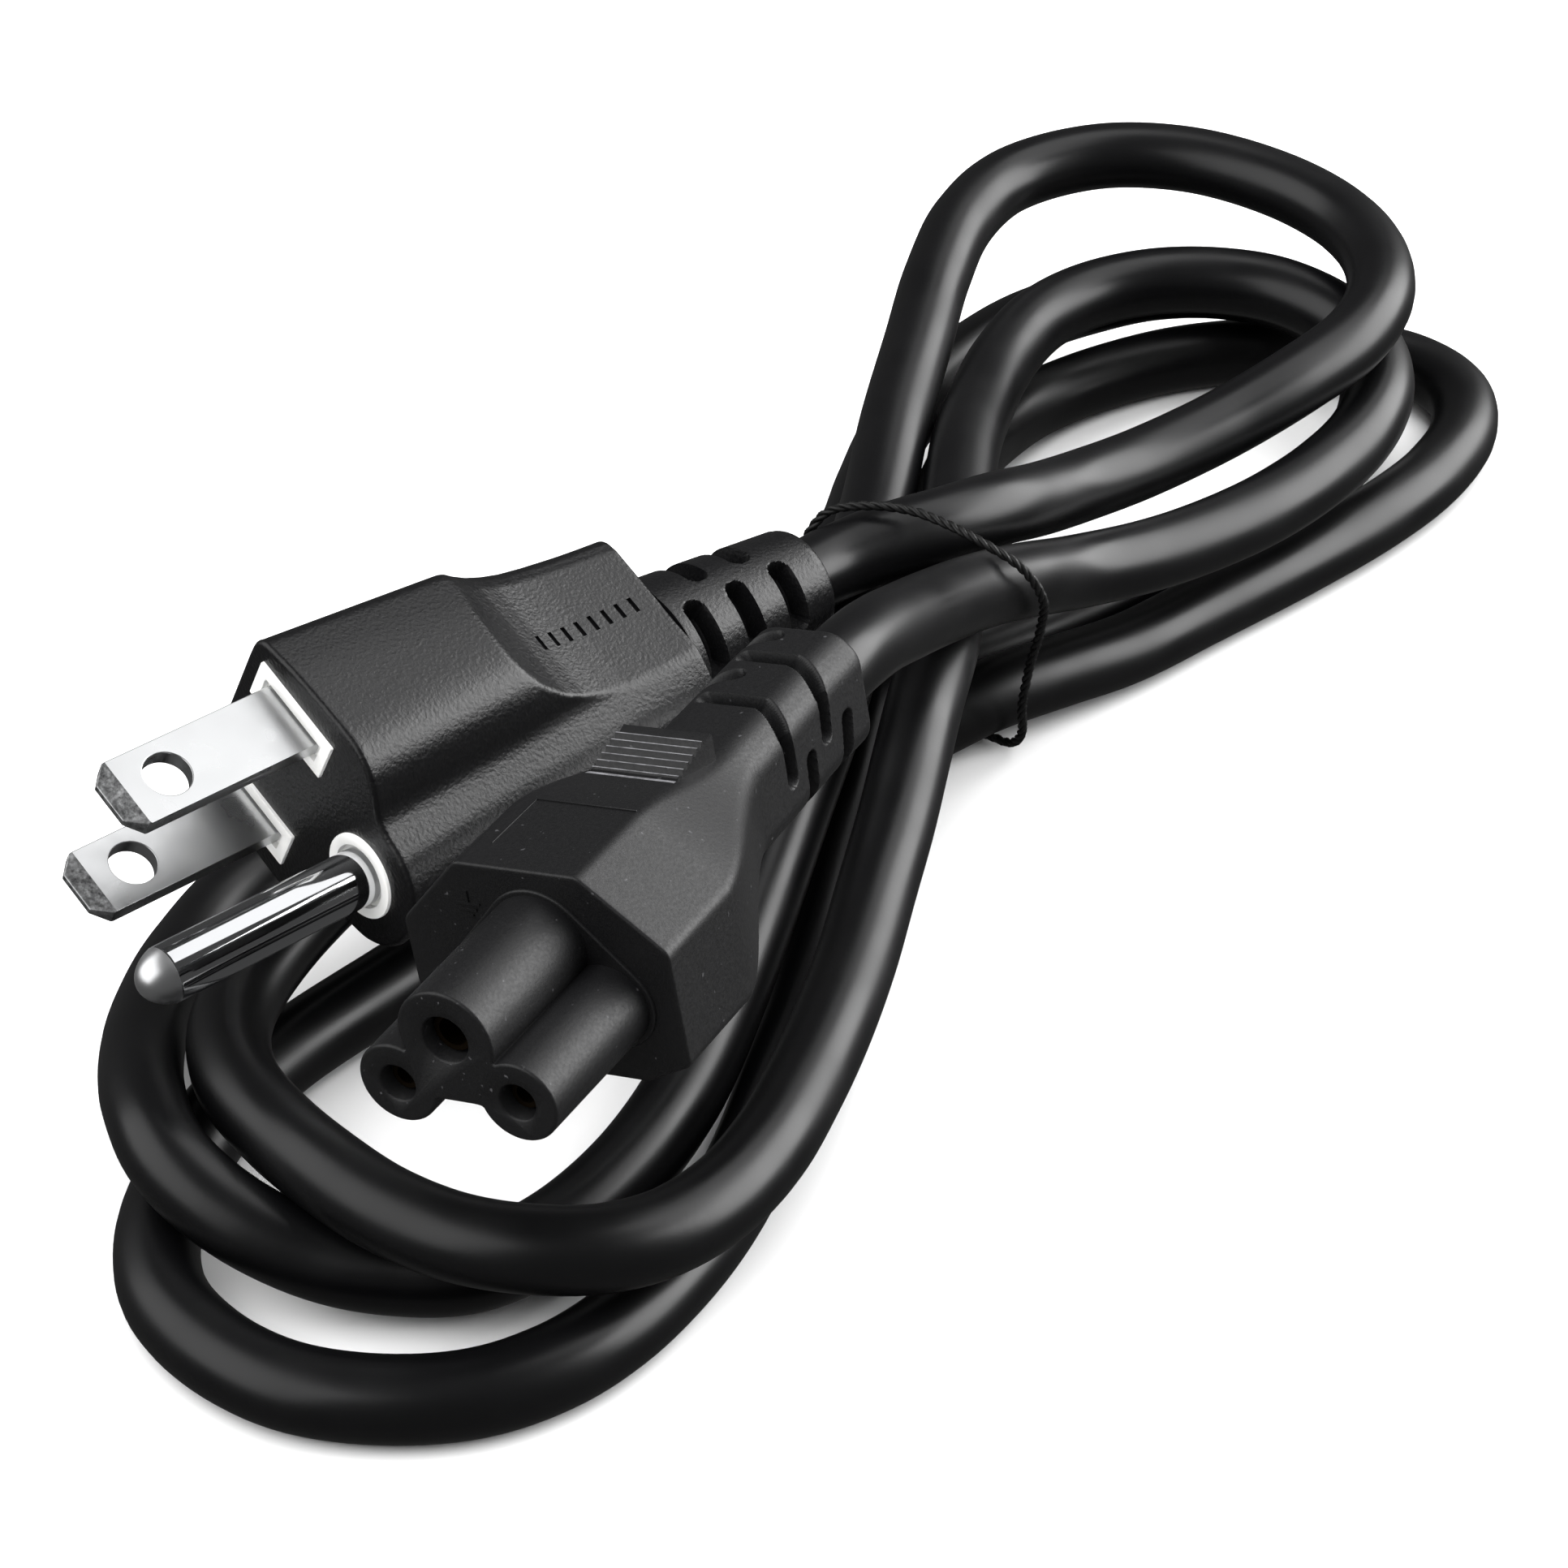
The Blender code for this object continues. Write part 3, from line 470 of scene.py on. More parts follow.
leadPath = smoothRoute(cordRoute, lead["step"]) - middle
leadPath = np.vstack([
    leadPath[0] + plugFrame[1] * lead["tuck"],
    leadPath,
    leadPath[-1] + connectorFrame[1] * lead["tuck"],
]) * mm
cordCurve = bpy.data.curves.new("cordLead", "CURVE")
cordCurve.dimensions = "3D"
cordCurve.bevel_depth = lead["diameter"] / 2 * mm
cordCurve.bevel_resolution = lead["sides"]
cordCurve.use_fill_caps = True
cordCurve.twist_mode = "MINIMUM"
cordSpline = cordCurve.splines.new("POLY")
cordSpline.points.add(len(leadPath) - 1)
for knot, point in zip(cordSpline.points, leadPath):
    knot.co = (*point, 1.0)
cordSpline.use_smooth = True
cordCurve.materials.append(cordPvc)
cordLead = bpy.data.objects.new("cordLead", cordCurve)
bpy.context.collection.objects.link(cordLead)
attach(cordLead, "root")
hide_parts("cord")
print("lead laid:", len(leadPath), "points")

# Plug
plug = {
    "length": 53.9,  # strain relief end to face
    "reliefLength": 17.4,
    "reliefEnd": (5.1, 5.0),  # half sizes across and up
    "reliefRoot": (6.8, 5.85),
    "faceHalfHeight": 11.0,
    "backHalfHeight": 9.4,  # the block's taper, read at the flange
    "crown": 0.8,  # how much lower the top lies at the flat side
    "scoopRim": 0.28,  # radius
    "ticks": 8,
    "firstTick": 30.6,
    "tickPitch": 1.53,
    "tickSide": -2.4,
    "ridgeRadius": 6.3,
    "ridgeMiddle": 6.15,
    "faceEdge": 0.45,
    "flangeEdge": 0.35,
    "slotWidth": 1.95,
    "slotDepth": 2.2,
    "slotHalfSpan": 27.0,  # degrees
    "tickDepth": 0.35,
    "points": 150,  # on half an outline
}
scoopProfile = [  # how high the finger scoop lies along the plug
    (17.4, 5.65), (20.0, 5.68), (23.0, 5.78), (26.0, 5.95), (28.5, 6.25), (30.5, 6.75),
    (32.5, 7.55), (34.2, 8.55), (35.6, 9.55), (37.2, 10.9), (38.5, 12.5), (60.0, 30.0),
]
flatSides = [  # where the flat side lies: along and across
    (17.4, -9.8), (22.0, -10.1), (28.6, -10.7), (36.0, -11.5), (53.9, -12.35),
]
frontSlots = [(15.2, 57.0), (10.2, 57.0), (5.0, 57.0)]  # place along the relief and turn round it
sideSlots = [(12.2, 147.0), (7.2, 147.0)]


def plugOutline(s):
    back = (plug["length"] - s) / (plug["length"] - plug["reliefLength"])
    h = plug["faceHalfHeight"] + (plug["backHalfHeight"] - plug["faceHalfHeight"]) * back
    sides = np.array(flatSides)
    flat = np.interp(s, sides[:, 0], sides[:, 1])
    profile = np.array(scoopProfile)
    ceiling = np.interp(s, profile[:, 0], profile[:, 1])
    edgeTop = min(h - plug["crown"], ceiling)
    ridge = plug["ridgeMiddle"] - 2.0 * back
    radius = plug["ridgeRadius"] - 1.3 * back
    ridgeTop = min(radius, 0.58 * h)
    half = [
        (flat, 0.0), (flat, 0.5 * edgeTop), (flat, edgeTop - 2.0), (flat + 0.2, edgeTop - 1.0),
        (flat + 0.9, edgeTop - 0.25), (flat + 2.1, edgeTop), (flat + 5.0, h - 0.4 * plug["crown"]),
        (ridge - 9.0, h - 0.1 * plug["crown"]), (ridge - 6.6, h), (ridge - 4.9, 0.975 * h),
        (ridge - 3.1, 0.89 * h), (ridge - 1.8, 0.75 * h), (ridge - 0.9, 0.62 * h), (ridge + 0.5, 0.56 * h),
    ]
    for angle in (66, 52, 38, 24, 12, 0):
        turn = math.radians(angle)
        half.append((ridge + radius * math.cos(turn), ridgeTop * math.sin(turn)))
    half = cornerCut(half, 3)
    over = half[:, 1] - ceiling
    soft = plug["scoopRim"]
    rounded = -(soft - over) ** 2 / (4 * soft)
    half[:, 1] = ceiling + np.where(over > soft, 0.0, np.where(over < -soft, over, rounded))
    half = evenly(half, plug["points"] + 1)
    return np.vstack([half, half[1:-1][::-1] * (1, -1)])


def reliefOutline(s):
    share = s / plug["reliefLength"]
    a, b = (end + (root - end) * share for end, root in zip(plug["reliefEnd"], plug["reliefRoot"]))
    turns = np.pi * (1 - np.arange(plug["points"] + 1) / plug["points"])
    half = np.stack([a * np.cos(turns), b * np.sin(turns)], 1)
    return np.vstack([half, half[1:-1][::-1] * (1, -1)])


def cutReliefSlots(s, ring):
    turns = np.degrees(np.arctan2(ring[:, 1], ring[:, 0]))
    radius = np.linalg.norm(ring, axis=1)
    depth = np.zeros(len(ring))
    slots = [(at, turn + half) for at, turn in frontSlots + sideSlots for half in (0, 180)]
    for at, turn in slots:
        apart = np.radians(np.abs((turns - turn + 180) % 360 - 180)) * radius
        beyond = np.maximum(apart - math.radians(plug["slotHalfSpan"]) * radius, 0.0)
        inside = plug["slotWidth"] / 2 - np.hypot(s - at, beyond)
        depth = np.maximum(depth, plug["slotDepth"] * smoothStep((inside + 0.14) / 0.28))
    return ring * (1 - depth / radius)[:, None]


plugRings = []
endRing = reliefOutline(0.0)
for scale in (0.3, 0.6):
    plugRings.append((0.0, endRing * scale))
for k in range(5):
    turn = math.pi / 2 * k / 5
    plugRings.append((0.7 * (1 - math.sin(turn)), inset(endRing, 0.7 * (1 - math.cos(turn)))))
plugRings = plugRings[:2] + sorted(plugRings[2:], key=lambda ring: ring[0])
for s in np.arange(0.9, plug["reliefLength"] - 0.35, 0.17):
    plugRings.append((s, cutReliefSlots(s, reliefOutline(s))))
flangeRing = plugOutline(plug["reliefLength"])
rootRing = reliefOutline(plug["reliefLength"])
edge = plug["flangeEdge"]
innerFlange = inset(flangeRing, edge)
for share in (0.0, 0.02, 0.35, 0.7, 1.0):
    s = plug["reliefLength"] - 0.12 * (share == 0.0)
    plugRings.append((s, rootRing * (1 - share) + innerFlange * share))
for k in range(1, 6):
    turn = math.pi / 2 * k / 5
    s = plug["reliefLength"] + edge * (1 - math.cos(turn))
    plugRings.append((s, inset(plugOutline(s), edge * (1 - math.sin(turn)))))
for s in np.arange(plug["reliefLength"] + edge + 0.35, plug["length"] - plug["faceEdge"] - 0.1, 0.35):
    plugRings.append((s, plugOutline(s)))
faceRing = plugOutline(plug["length"])
for k in range(6):
    turn = math.pi / 2 * k / 5
    s = plug["length"] - plug["faceEdge"] * (1 - math.sin(turn))
    plugRings.append((s, inset(faceRing, plug["faceEdge"] * (1 - math.cos(turn)))))
plugRings.append((plug["length"], inset(faceRing, plug["faceEdge"] + 0.15)))
plugBody = skin("plugMoulding", plugFrame, plugRings, plugPvc)

# The contacts and the nylon insert that shows round their roots
contacts = {
    "bladeWidth": 6.35,
    "bladeThickness": 1.5,
    "bladeSpacing": 12.7,
    "bladeSide": -5.95,
    "bladeLength": 17.9,
    "bladeHole": 3.96,
    "holeFromFace": 12.5,
    "tipLength": 1.6,
    "tipThickness": 0.6,
    "cornerCut": 1.35,
    "pinRadius": 2.4,
    "pinSide": 6.05,
    "pinLength": 21.9,
    "collarWidth": 9.45,
    "collarHeight": 4.05,
    "collarProud": 0.3,
    "collarRim": 1.05,
    "collarDip": 0.25,
    "collarCorner": 0.15,
    "pinCollar": 3.7,
    "pinRim": 0.95,
    "domeLength": 2.35,
    "domeEdge": 24.0,  # degrees at which the dome leaves the shank
}


def rectangle(q, u, width, height, cut=0.0, steps=4):
    # corners rounded by cut, going round once
    ring = []
    for cornerQ, cornerU, start in ((1, 1, 0), (-1, 1, 90), (-1, -1, 180), (1, -1, 270)):
        for k in range(steps + 1):
            turn = math.radians(start + 90 * k / steps)
            ring.append((
                q + cornerQ * (width / 2 - cut) + cut * math.cos(turn),
                u + cornerU * (height / 2 - cut) + cut * math.sin(turn),
            ))
    return np.array(ring)


def roundRing(q, u, radius, sides):
    turns = 2 * np.pi * np.arange(sides) / sides
    return np.stack([q + radius * np.cos(turns), u + radius * np.sin(turns)], 1)


def block(name, where, start, stop, ring, mat=None):
    return skin(name, where, [(start, ring), (stop, ring)], mat)


faceAt = plug["length"]
tight = 0.05  # the collars press this far into their pockets
collarSize = np.array((contacts["collarWidth"], contacts["collarHeight"]))
for height in (contacts["bladeSpacing"] / 2, -contacts["bladeSpacing"] / 2):
    opening = rectangle(contacts["bladeSide"], height, *(collarSize - tight), contacts["collarCorner"])
    combine(plugBody, block("pocket", plugFrame, faceAt - 2.4, faceAt + 1.0, opening), "DIFFERENCE")
opening = roundRing(contacts["pinSide"], 0.0, contacts["pinCollar"] - 0.02, 48)
combine(plugBody, block("pocket", plugFrame, faceAt - 2.4, faceAt + 1.0, opening), "DIFFERENCE")
for k in range(plug["ticks"]):  # short marks cut in the scoop, without lettering
    at = plug["firstTick"] - plug["tickPitch"] * k
    ceiling = np.interp(at, [row[0] for row in scoopProfile], [row[1] for row in scoopProfile])
    tick = rectangle(plug["tickSide"], ceiling, 1.5, 2 * plug["tickDepth"], 0.1, 2)
    combine(plugBody, block("tick", plugFrame, at - 0.22, at + 0.22, tick), "DIFFERENCE")
softEdges(plugBody, 38)
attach(plugBody, "root")
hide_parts("plug_body")
print("plug moulded:", len(plugBody.data.polygons), "faces")


def collar(name, outer, inner):
    # a rim round a dip, standing a little proud of the face
    top = faceAt + contacts["collarProud"]
    rings = [(faceAt - 2.2, outer), (top - 0.12, outer)]
    rings += [(top - 0.03, inset(outer, 0.04)), (top, inset(outer, 0.14))]
    rings += [(top, inset(inner, -0.1)), (top - 0.03, inset(inner, -0.03)), (top - 0.12, inner)]
    rings += [(faceAt - contacts["collarDip"], inner)]
    return skin(name, plugFrame, rings, nylon)


collarPieces = []
for side, height in (("Upper", contacts["bladeSpacing"] / 2), ("Lower", -contacts["bladeSpacing"] / 2)):
    outer = rectangle(contacts["bladeSide"], height, *collarSize, contacts["collarCorner"])
    innerSize = collarSize - 2 * contacts["collarRim"]
    inner = rectangle(contacts["bladeSide"], height, *innerSize, contacts["collarCorner"])
    collarPieces.append(collar("bladeCollar" + side, outer, inner))
outer = roundRing(contacts["pinSide"], 0.0, contacts["pinCollar"], 64)
inner = roundRing(contacts["pinSide"], 0.0, contacts["pinCollar"] - contacts["pinRim"], 64)
collarPieces.append(collar("pinCollar", outer, inner))
for piece in collarPieces:
    softEdges(piece, 40)
    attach(piece, "root")
    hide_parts("contact_bridge")


def makeBlade(name, node, height):
    tip = faceAt + contacts["bladeLength"]
    half = contacts["bladeWidth"] / 2
    cut = contacts["cornerCut"]
    q = contacts["bladeSide"]
    thick = contacts["bladeThickness"] / 2
    thin = contacts["tipThickness"] / 2
    start = faceAt - 2.0
    outline = np.array([  # along and across, with the corners cut
        (start, -half), (tip - cut, -half), (tip, -half + cut),
        (tip, half - cut), (tip - cut, half), (start, half),
    ])
    lower, upper = (
        inFrame(plugFrame, outline[:, 0], q + outline[:, 1], height + level * thick) for level in (-1, 1)
    )
    blade = prism(name, lower, upper, bladeNickel)
    coinFrom = tip - contacts["tipLength"]
    beyond = tip + 1.0
    fall = (thick - thin) / contacts["tipLength"]
    for level in (-1, 1):  # coin both faces of the tip
        wedge = np.array([
            (coinFrom, thick), (coinFrom, thick + 1.0), (beyond, thick + 1.0), (beyond, thin - fall),
        ])
        left, right = (
            inFrame(plugFrame, wedge[:, 0], q + side, height + level * wedge[:, 1])
            for side in (-half - 1, half + 1)
        )
        combine(blade, prism("wedge", left, right), "DIFFERENCE")
    hole = roundRing(contacts["holeFromFace"] + faceAt, q, contacts["bladeHole"] / 2, 48)
    lower, upper = (inFrame(plugFrame, hole[:, 0], hole[:, 1], height + depth) for depth in (-3.0, 3.0))
    combine(blade, prism("drill", lower, upper), "DIFFERENCE")
    bevel = blade.modifiers.new("edges", "BEVEL")
    bevel.width = 0.09 * mm
    bevel.segments = 3
    bevel.limit_method = "ANGLE"
    bevel.angle_limit = math.radians(25)
    applyModifiers(blade)
    softEdges(blade, 12)
    blade.data.materials.append(tipNickel)
    for face in blade.data.polygons:
        reachAlong = (np.array(face.center) / mm - plugFrame[0]) @ plugFrame[1]
        if reachAlong > coinFrom and abs(np.array(face.normal) @ plugFrame[1]) > 0.15:
            face.material_index = 1
    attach(blade, "root")
    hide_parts(node)


makeBlade("bladeUpper", "blade_upper", contacts["bladeSpacing"] / 2)
makeBlade("bladeLower", "blade_lower", -contacts["bladeSpacing"] / 2)

pinTip = faceAt + contacts["pinLength"]
pinProfile = [(faceAt - 2.0, contacts["pinRadius"]), (faceAt + 6.0, contacts["pinRadius"])]
pinProfile += [(pinTip - 2.5, contacts["pinRadius"])]
domeAt = pinTip - contacts["domeLength"]
edge = math.radians(contacts["domeEdge"])
for turn in np.radians(np.linspace(contacts["domeEdge"], 88.5, 14)):  # the tip leaves the shank at a crease
    rise = (math.sin(turn) - math.sin(edge)) / (1 - math.sin(edge))
    radius = (contacts["pinRadius"] - 0.03) * math.cos(turn) / math.cos(edge)
    pinProfile.append((domeAt + contacts["domeLength"] * rise, radius))
pinRings = [(s, roundRing(contacts["pinSide"], 0.0, radius, 72)) for s, radius in pinProfile]
groundPin = skin("groundPin", plugFrame, pinRings, pinNickel)
softEdges(groundPin, 20)
groundPin.data.materials.append(domeNickel)
for face in groundPin.data.polygons:
    if (np.array(face.center) / mm - plugFrame[0]) @ plugFrame[1] > domeAt - 0.01:
        face.material_index = 1
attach(groundPin, "root")
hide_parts("ground_pin")
print("contacts made")

# Connector
connector = {
    "length": 55.6,  # strain relief end to nose face
    "nose": 13.2,
    "noseEdge": 0.25,
    "shoulderEdge": 0.22,
    "stepHeight": 0.25,  # the low step round the root of the nose
    "stepLive": 3.75,
    "stepEarth": 4.4,
    "bodyLength": 10.8,
    "taperLength": 10.0,
    "halfWidth": 11.25,
    "top": 8.3,
    "bevelHeight": 5.5,
    "bottom": -8.6,
    "reliefHalf": 5.3,
    "reliefEndHalf": 4.9,
    "reliefEndTop": 5.8,  # the relief stands a little higher at its end
    "slotWidth": 1.3,
    "slotDepth": 1.8,
    "points": 176,  # on half an outline
    "liveSpacing": 10.0,
    "liveHeight": -2.0,
    "earthHeight": 2.4,
    "liveLobe": 3.2,
    "earthLobe": 3.9,
    "liveHole": 2.9,
    "earthHole": 3.7,
    "holeDepth": 11.0,
    "padWidth": 7.5,
    "padAside": -0.6,
    "padFront": (26.7, 6.55),  # place along the connector and height
    "padBack": (20.4, 7.85),
    "reliefAside": -0.2,  # how far the relief and the body lie from the nose's middle
    "bodyAside": -0.5,
    "topAside": -0.5,  # and the flat top of the body a little more
    "padRidges": 7,
}
shoulderAt = connector["length"] - connector["nose"]
taperFront = shoulderAt - connector["bodyLength"]
taperBack = taperFront - connector["taperLength"]
half = connector["halfWidth"]
bodyCorners = np.array([
    (0.46 * half, connector["top"]), (half, connector["top"] - connector["bevelHeight"]),
    (half, connector["bottom"] + 1.9), (0.65 * half, connector["bottom"]),
])
bodyRadii = np.array([1.1, 1.3, 0.9, 0.7])


def roundedHalf(corners, radii):
    # right half of an outline from the top middle to the bottom middle, its corners rounded
    path = np.vstack([(0.0, corners[0][1]), corners, (0.0, corners[-1][1])])
    out = [path[0]]
    for k in range(1, len(path) - 1):
        before, here, after = path[k - 1], path[k], path[k + 1]
        toBefore = (before - here) / np.linalg.norm(before - here)
        toAfter = (after - here) / np.linalg.norm(after - here)
        bend = math.acos(np.clip(toBefore @ toAfter, -1, 1))
        reach = radii[k - 1] / math.tan(bend / 2)
        a, b = here + toBefore * reach, here + toAfter * reach
        for t in np.linspace(0, 1, 9):
            out.append(a * (1 - t) ** 2 + here * 2 * t * (1 - t) + b * t * t)
    out.append(path[-1])
    return np.array(out)


def connectorOutline(s):
    share = np.clip(s / taperBack, 0, 1)
    h = connector["reliefEndHalf"] + (connector["reliefHalf"] - connector["reliefEndHalf"]) * share
    top = connector["reliefEndTop"] + (connector["reliefHalf"] - connector["reliefEndTop"]) * share
    reliefCorners = np.array([(0.64 * h, top), (h, top - 0.36 * h), (h, -0.6 * h), (0.6 * h, -h)])
    reliefRadii = np.array([2.6, 2.6, 2.6, 2.6])
    grow = np.empty(4)
    for corner, (start, stop) in enumerate(((18.0, 33.4), (17.4, 33.2), (18.6, 33.0), (18.6, 33.0))):
        x = np.clip((s - start) / (stop - start), 0, 1)
        grow[corner] = 0.45 * x + 0.55 * smoothStep(x)
    corners = reliefCorners * (1 - grow[:, None]) + bodyCorners * grow[:, None]
    crisp = smoothStep((s - 24.0) / 9.0)
    radii = reliefRadii * (1 - crisp) + bodyRadii * crisp
    right = evenly(roundedHalf(corners, radii), connector["points"] + 1)
    aside = connector["reliefAside"] * smoothStep(s / 5.0)
    body = smoothStep((s - 18.0) / 14.0)
    aside += (connector["bodyAside"] - connector["reliefAside"]) * body
    ring = np.vstack([right, right[1:-1][::-1] * (-1, 1)])
    onBevel = np.clip((ring[:, 1] - connector["top"]) / connector["bevelHeight"] + 1, 0, 1)
    ring[:, 0] += aside + connector["topAside"] * body * onBevel
    return ring


# Slots of the connector's relief: (along, round from the top middle towards the side), in mm
reliefSlots = [
    [(5.05, -2.6), (5.05, 1.9), (6.6, 5.4), (7.0, 8.9)],
    [(11.65, -2.5), (11.65, 2.6), (13.0, 5.6), (13.1, 9.4)],
    [(3.6, 9.4), (4.4, 13.9), (4.6, 17.0)],
    [(9.9, 9.6), (10.3, 13.9), (10.4, 17.0)],
    [(1.7, -1.7), (2.9, -4.4), (3.6, -8.5)],
    [(7.9, -1.7), (9.4, -4.4), (10.0, -8.5)],
    [(5.2, -11.0), (5.3, -19.5)],
    [(12.2, -11.0), (12.4, -19.5)],
]


def cutConnectorSlots(s, ring):
    around = np.linalg.norm(np.roll(ring, -1, 0) - ring, axis=1).sum()
    here = np.arange(len(ring)) / len(ring) * around
    centreLine = ring.mean(0)
    radius = np.linalg.norm(ring - centreLine, axis=1)
    depth = np.zeros(len(ring))
    for path in reliefSlots:
        best = np.full(len(ring), 99.0)
        for (s1, p1), (s2, p2) in zip(path[:-1], path[1:]):
            span = np.array([s2 - s1, p2 - p1])
            centre = (p1 + p2) / 2
            p = (here - centre + around / 2) % around - around / 2 + centre
            t = np.clip(((s - s1) * span[0] + (p - p1) * span[1]) / (span @ span), 0, 1)
            best = np.minimum(best, np.hypot(s - s1 - t * span[0], p - p1 - t * span[1]))
        inside = connector["slotWidth"] / 2 - best
        depth = np.maximum(depth, connector["slotDepth"] * smoothStep((inside + 0.20) / 0.40))
    return centreLine + (ring - centreLine) * (1 - depth / radius)[:, None]


connectorRings = []
endRing = connectorOutline(0.0)
for scale in (0.3, 0.6):
    connectorRings.append((0.0, endRing * scale))
endRings = []
for k in range(5):
    turn = math.pi / 2 * k / 5
    endRings.append((0.6 * (1 - math.sin(turn)), inset(endRing, 0.6 * (1 - math.cos(turn)))))
connectorRings += sorted(endRings, key=lambda ring: ring[0])
for s in np.arange(0.8, 15.0, 0.10):
    connectorRings.append((s, cutConnectorSlots(s, connectorOutline(s))))
for s in np.arange(15.1, shoulderAt - 0.4, 0.4):
    connectorRings.append((s, connectorOutline(s)))
shoulderRing = connectorOutline(shoulderAt)
edge = connector["shoulderEdge"]
for turn in np.linspace(0, math.pi / 2, 5):
    s = shoulderAt - edge * (1 - math.sin(turn))
    connectorRings.append((s, inset(shoulderRing, edge * (1 - math.cos(turn)))))
connectorRings.append((shoulderAt, inset(shoulderRing, 0.4)))
connectorBody = skin("connectorMoulding", connectorFrame, connectorRings, connectorPvc)


def arc(q, u, radius, start, stop, steps):
    turns = np.radians(np.linspace(start, stop, steps + 1))
    return [(q + radius * math.cos(t), u + radius * math.sin(t)) for t in turns]


def cloverleaf():
    side = connector["liveSpacing"] / 2
    rise = connector["earthHeight"] - connector["liveHeight"]
    apart = math.hypot(side, rise)
    live, earth = connector["liveLobe"], connector["earthLobe"]
    along = (apart**2 + live**2 - earth**2) / (2 * apart)
    slant = math.degrees(math.atan2(rise, -side))
    endLive = slant - math.degrees(math.acos(along / live))
    crossQ = side + live * math.cos(math.radians(endLive))
    crossU = connector["liveHeight"] + live * math.sin(math.radians(endLive))
    startEarth = math.degrees(math.atan2(crossU - connector["earthHeight"], crossQ))
    startLive = math.degrees(math.asin(0.8 / live)) + 180
    right = arc(side, connector["liveHeight"], live, startLive, 360 + endLive, 40)
    topHalf = arc(0.0, connector["earthHeight"], earth, startEarth, 90, 20)[1:]
    return evenly(cornerCut([(0.0, right[0][1])] + right + topHalf, 2), 150)


rightClover = cloverleaf()
cloverRing = np.vstack([rightClover, rightClover[1:-1][::-1] * (-1, 1)])
edge = connector["noseEdge"]
noseRings = [(shoulderAt - 2.0, inset(cloverRing, -0.12)), (connector["length"] - edge, cloverRing)]
for turn in np.linspace(0, math.pi / 2, 6)[1:]:
    s = connector["length"] - edge * (1 - math.sin(turn))
    noseRings.append((s, inset(cloverRing, edge * (1 - math.cos(turn)))))
noseRings.append((connector["length"], inset(cloverRing, 0.33)))
# A low step round the root of the nose
side, base, apex = connector["liveSpacing"] / 2, connector["liveHeight"], connector["earthHeight"]
stepHalf = arc(side, base, connector["stepLive"], -90, 42, 14) + arc(0.0, apex, connector["stepEarth"], 42, 90, 10)
stepHalf = evenly(cornerCut([(0.0, base - connector["stepLive"])] + stepHalf, 2), 60)
stepRing = np.vstack([stepHalf, stepHalf[1:-1][::-1] * (-1, 1)])
stepTop = shoulderAt + connector["stepHeight"]
stepRings = [(shoulderAt - 1.0, stepRing), (stepTop - 0.09, stepRing)]
stepRings += [(stepTop, inset(stepRing, 0.1)), (stepTop, inset(stepRing, 0.2))]
combine(connectorBody, skin("rootStep", connectorFrame, stepRings, None), "UNION")
combine(connectorBody, skin("nose", connectorFrame, noseRings, None), "UNION")

# Grip pad: a wedge that rises towards the lead, ridged across
frontS, frontU = connector["padFront"]
backS, backU = connector["padBack"]
padProfile = []
for k in range(connector["padRidges"] + 1):
    at = frontS + (backS + 0.9 - frontS) * k / connector["padRidges"]
    height = frontU + (backU - frontU) * (frontS - at) / (frontS - backS)
    padProfile.append((at, height))
    if k < connector["padRidges"]:
        padProfile.append((at - 0.06, height + 0.30))
        padProfile.append((at - 0.14, height + 0.36))
        padProfile.append((at - 0.26, height + 0.36))
        padProfile.append((at - 0.34, height + 0.30))
        padProfile.append((at - 0.40, height))
padProfile += [(backS + 0.25, backU), (backS, backU - 0.25), (backS, 2.0)]
padProfile += [(frontS + 0.3, 2.0), (frontS + 0.3, frontU - 0.3)]
padProfile = np.array(padProfile)
padHalf = connector["padWidth"] / 2
left, right = (
    inFrame(connectorFrame, padProfile[:, 0], connector["padAside"] + reach, padProfile[:, 1])
    for reach in (-padHalf, padHalf)
)
combine(connectorBody, prism("gripPad", left, right), "UNION")

# Faint witness lines of the mould on the flat top
for start, stop, left, right in ((32.9, 39.4, -4.7, -4.58), (32.9, 33.02, -4.7, 3.9)):
    line = rectangle((left + right) / 2, connector["top"], right - left, 0.12, 0.01, 1)
    combine(connectorBody, block("line", connectorFrame, start, stop, line), "UNION")

# Earth sign beside the top lobe: a stem and three bars
signSide = -5.6
for u, width, height in ((5.45, 0.2, 1.0), (4.9, 2.0, 0.2), (4.4, 1.3, 0.2), (3.9, 0.6, 0.2)):
    bar = rectangle(signSide, u, width, height, 0.05, 2)
    combine(connectorBody, block("mark", connectorFrame, shoulderAt - 0.3, shoulderAt + 0.12, bar), "UNION")

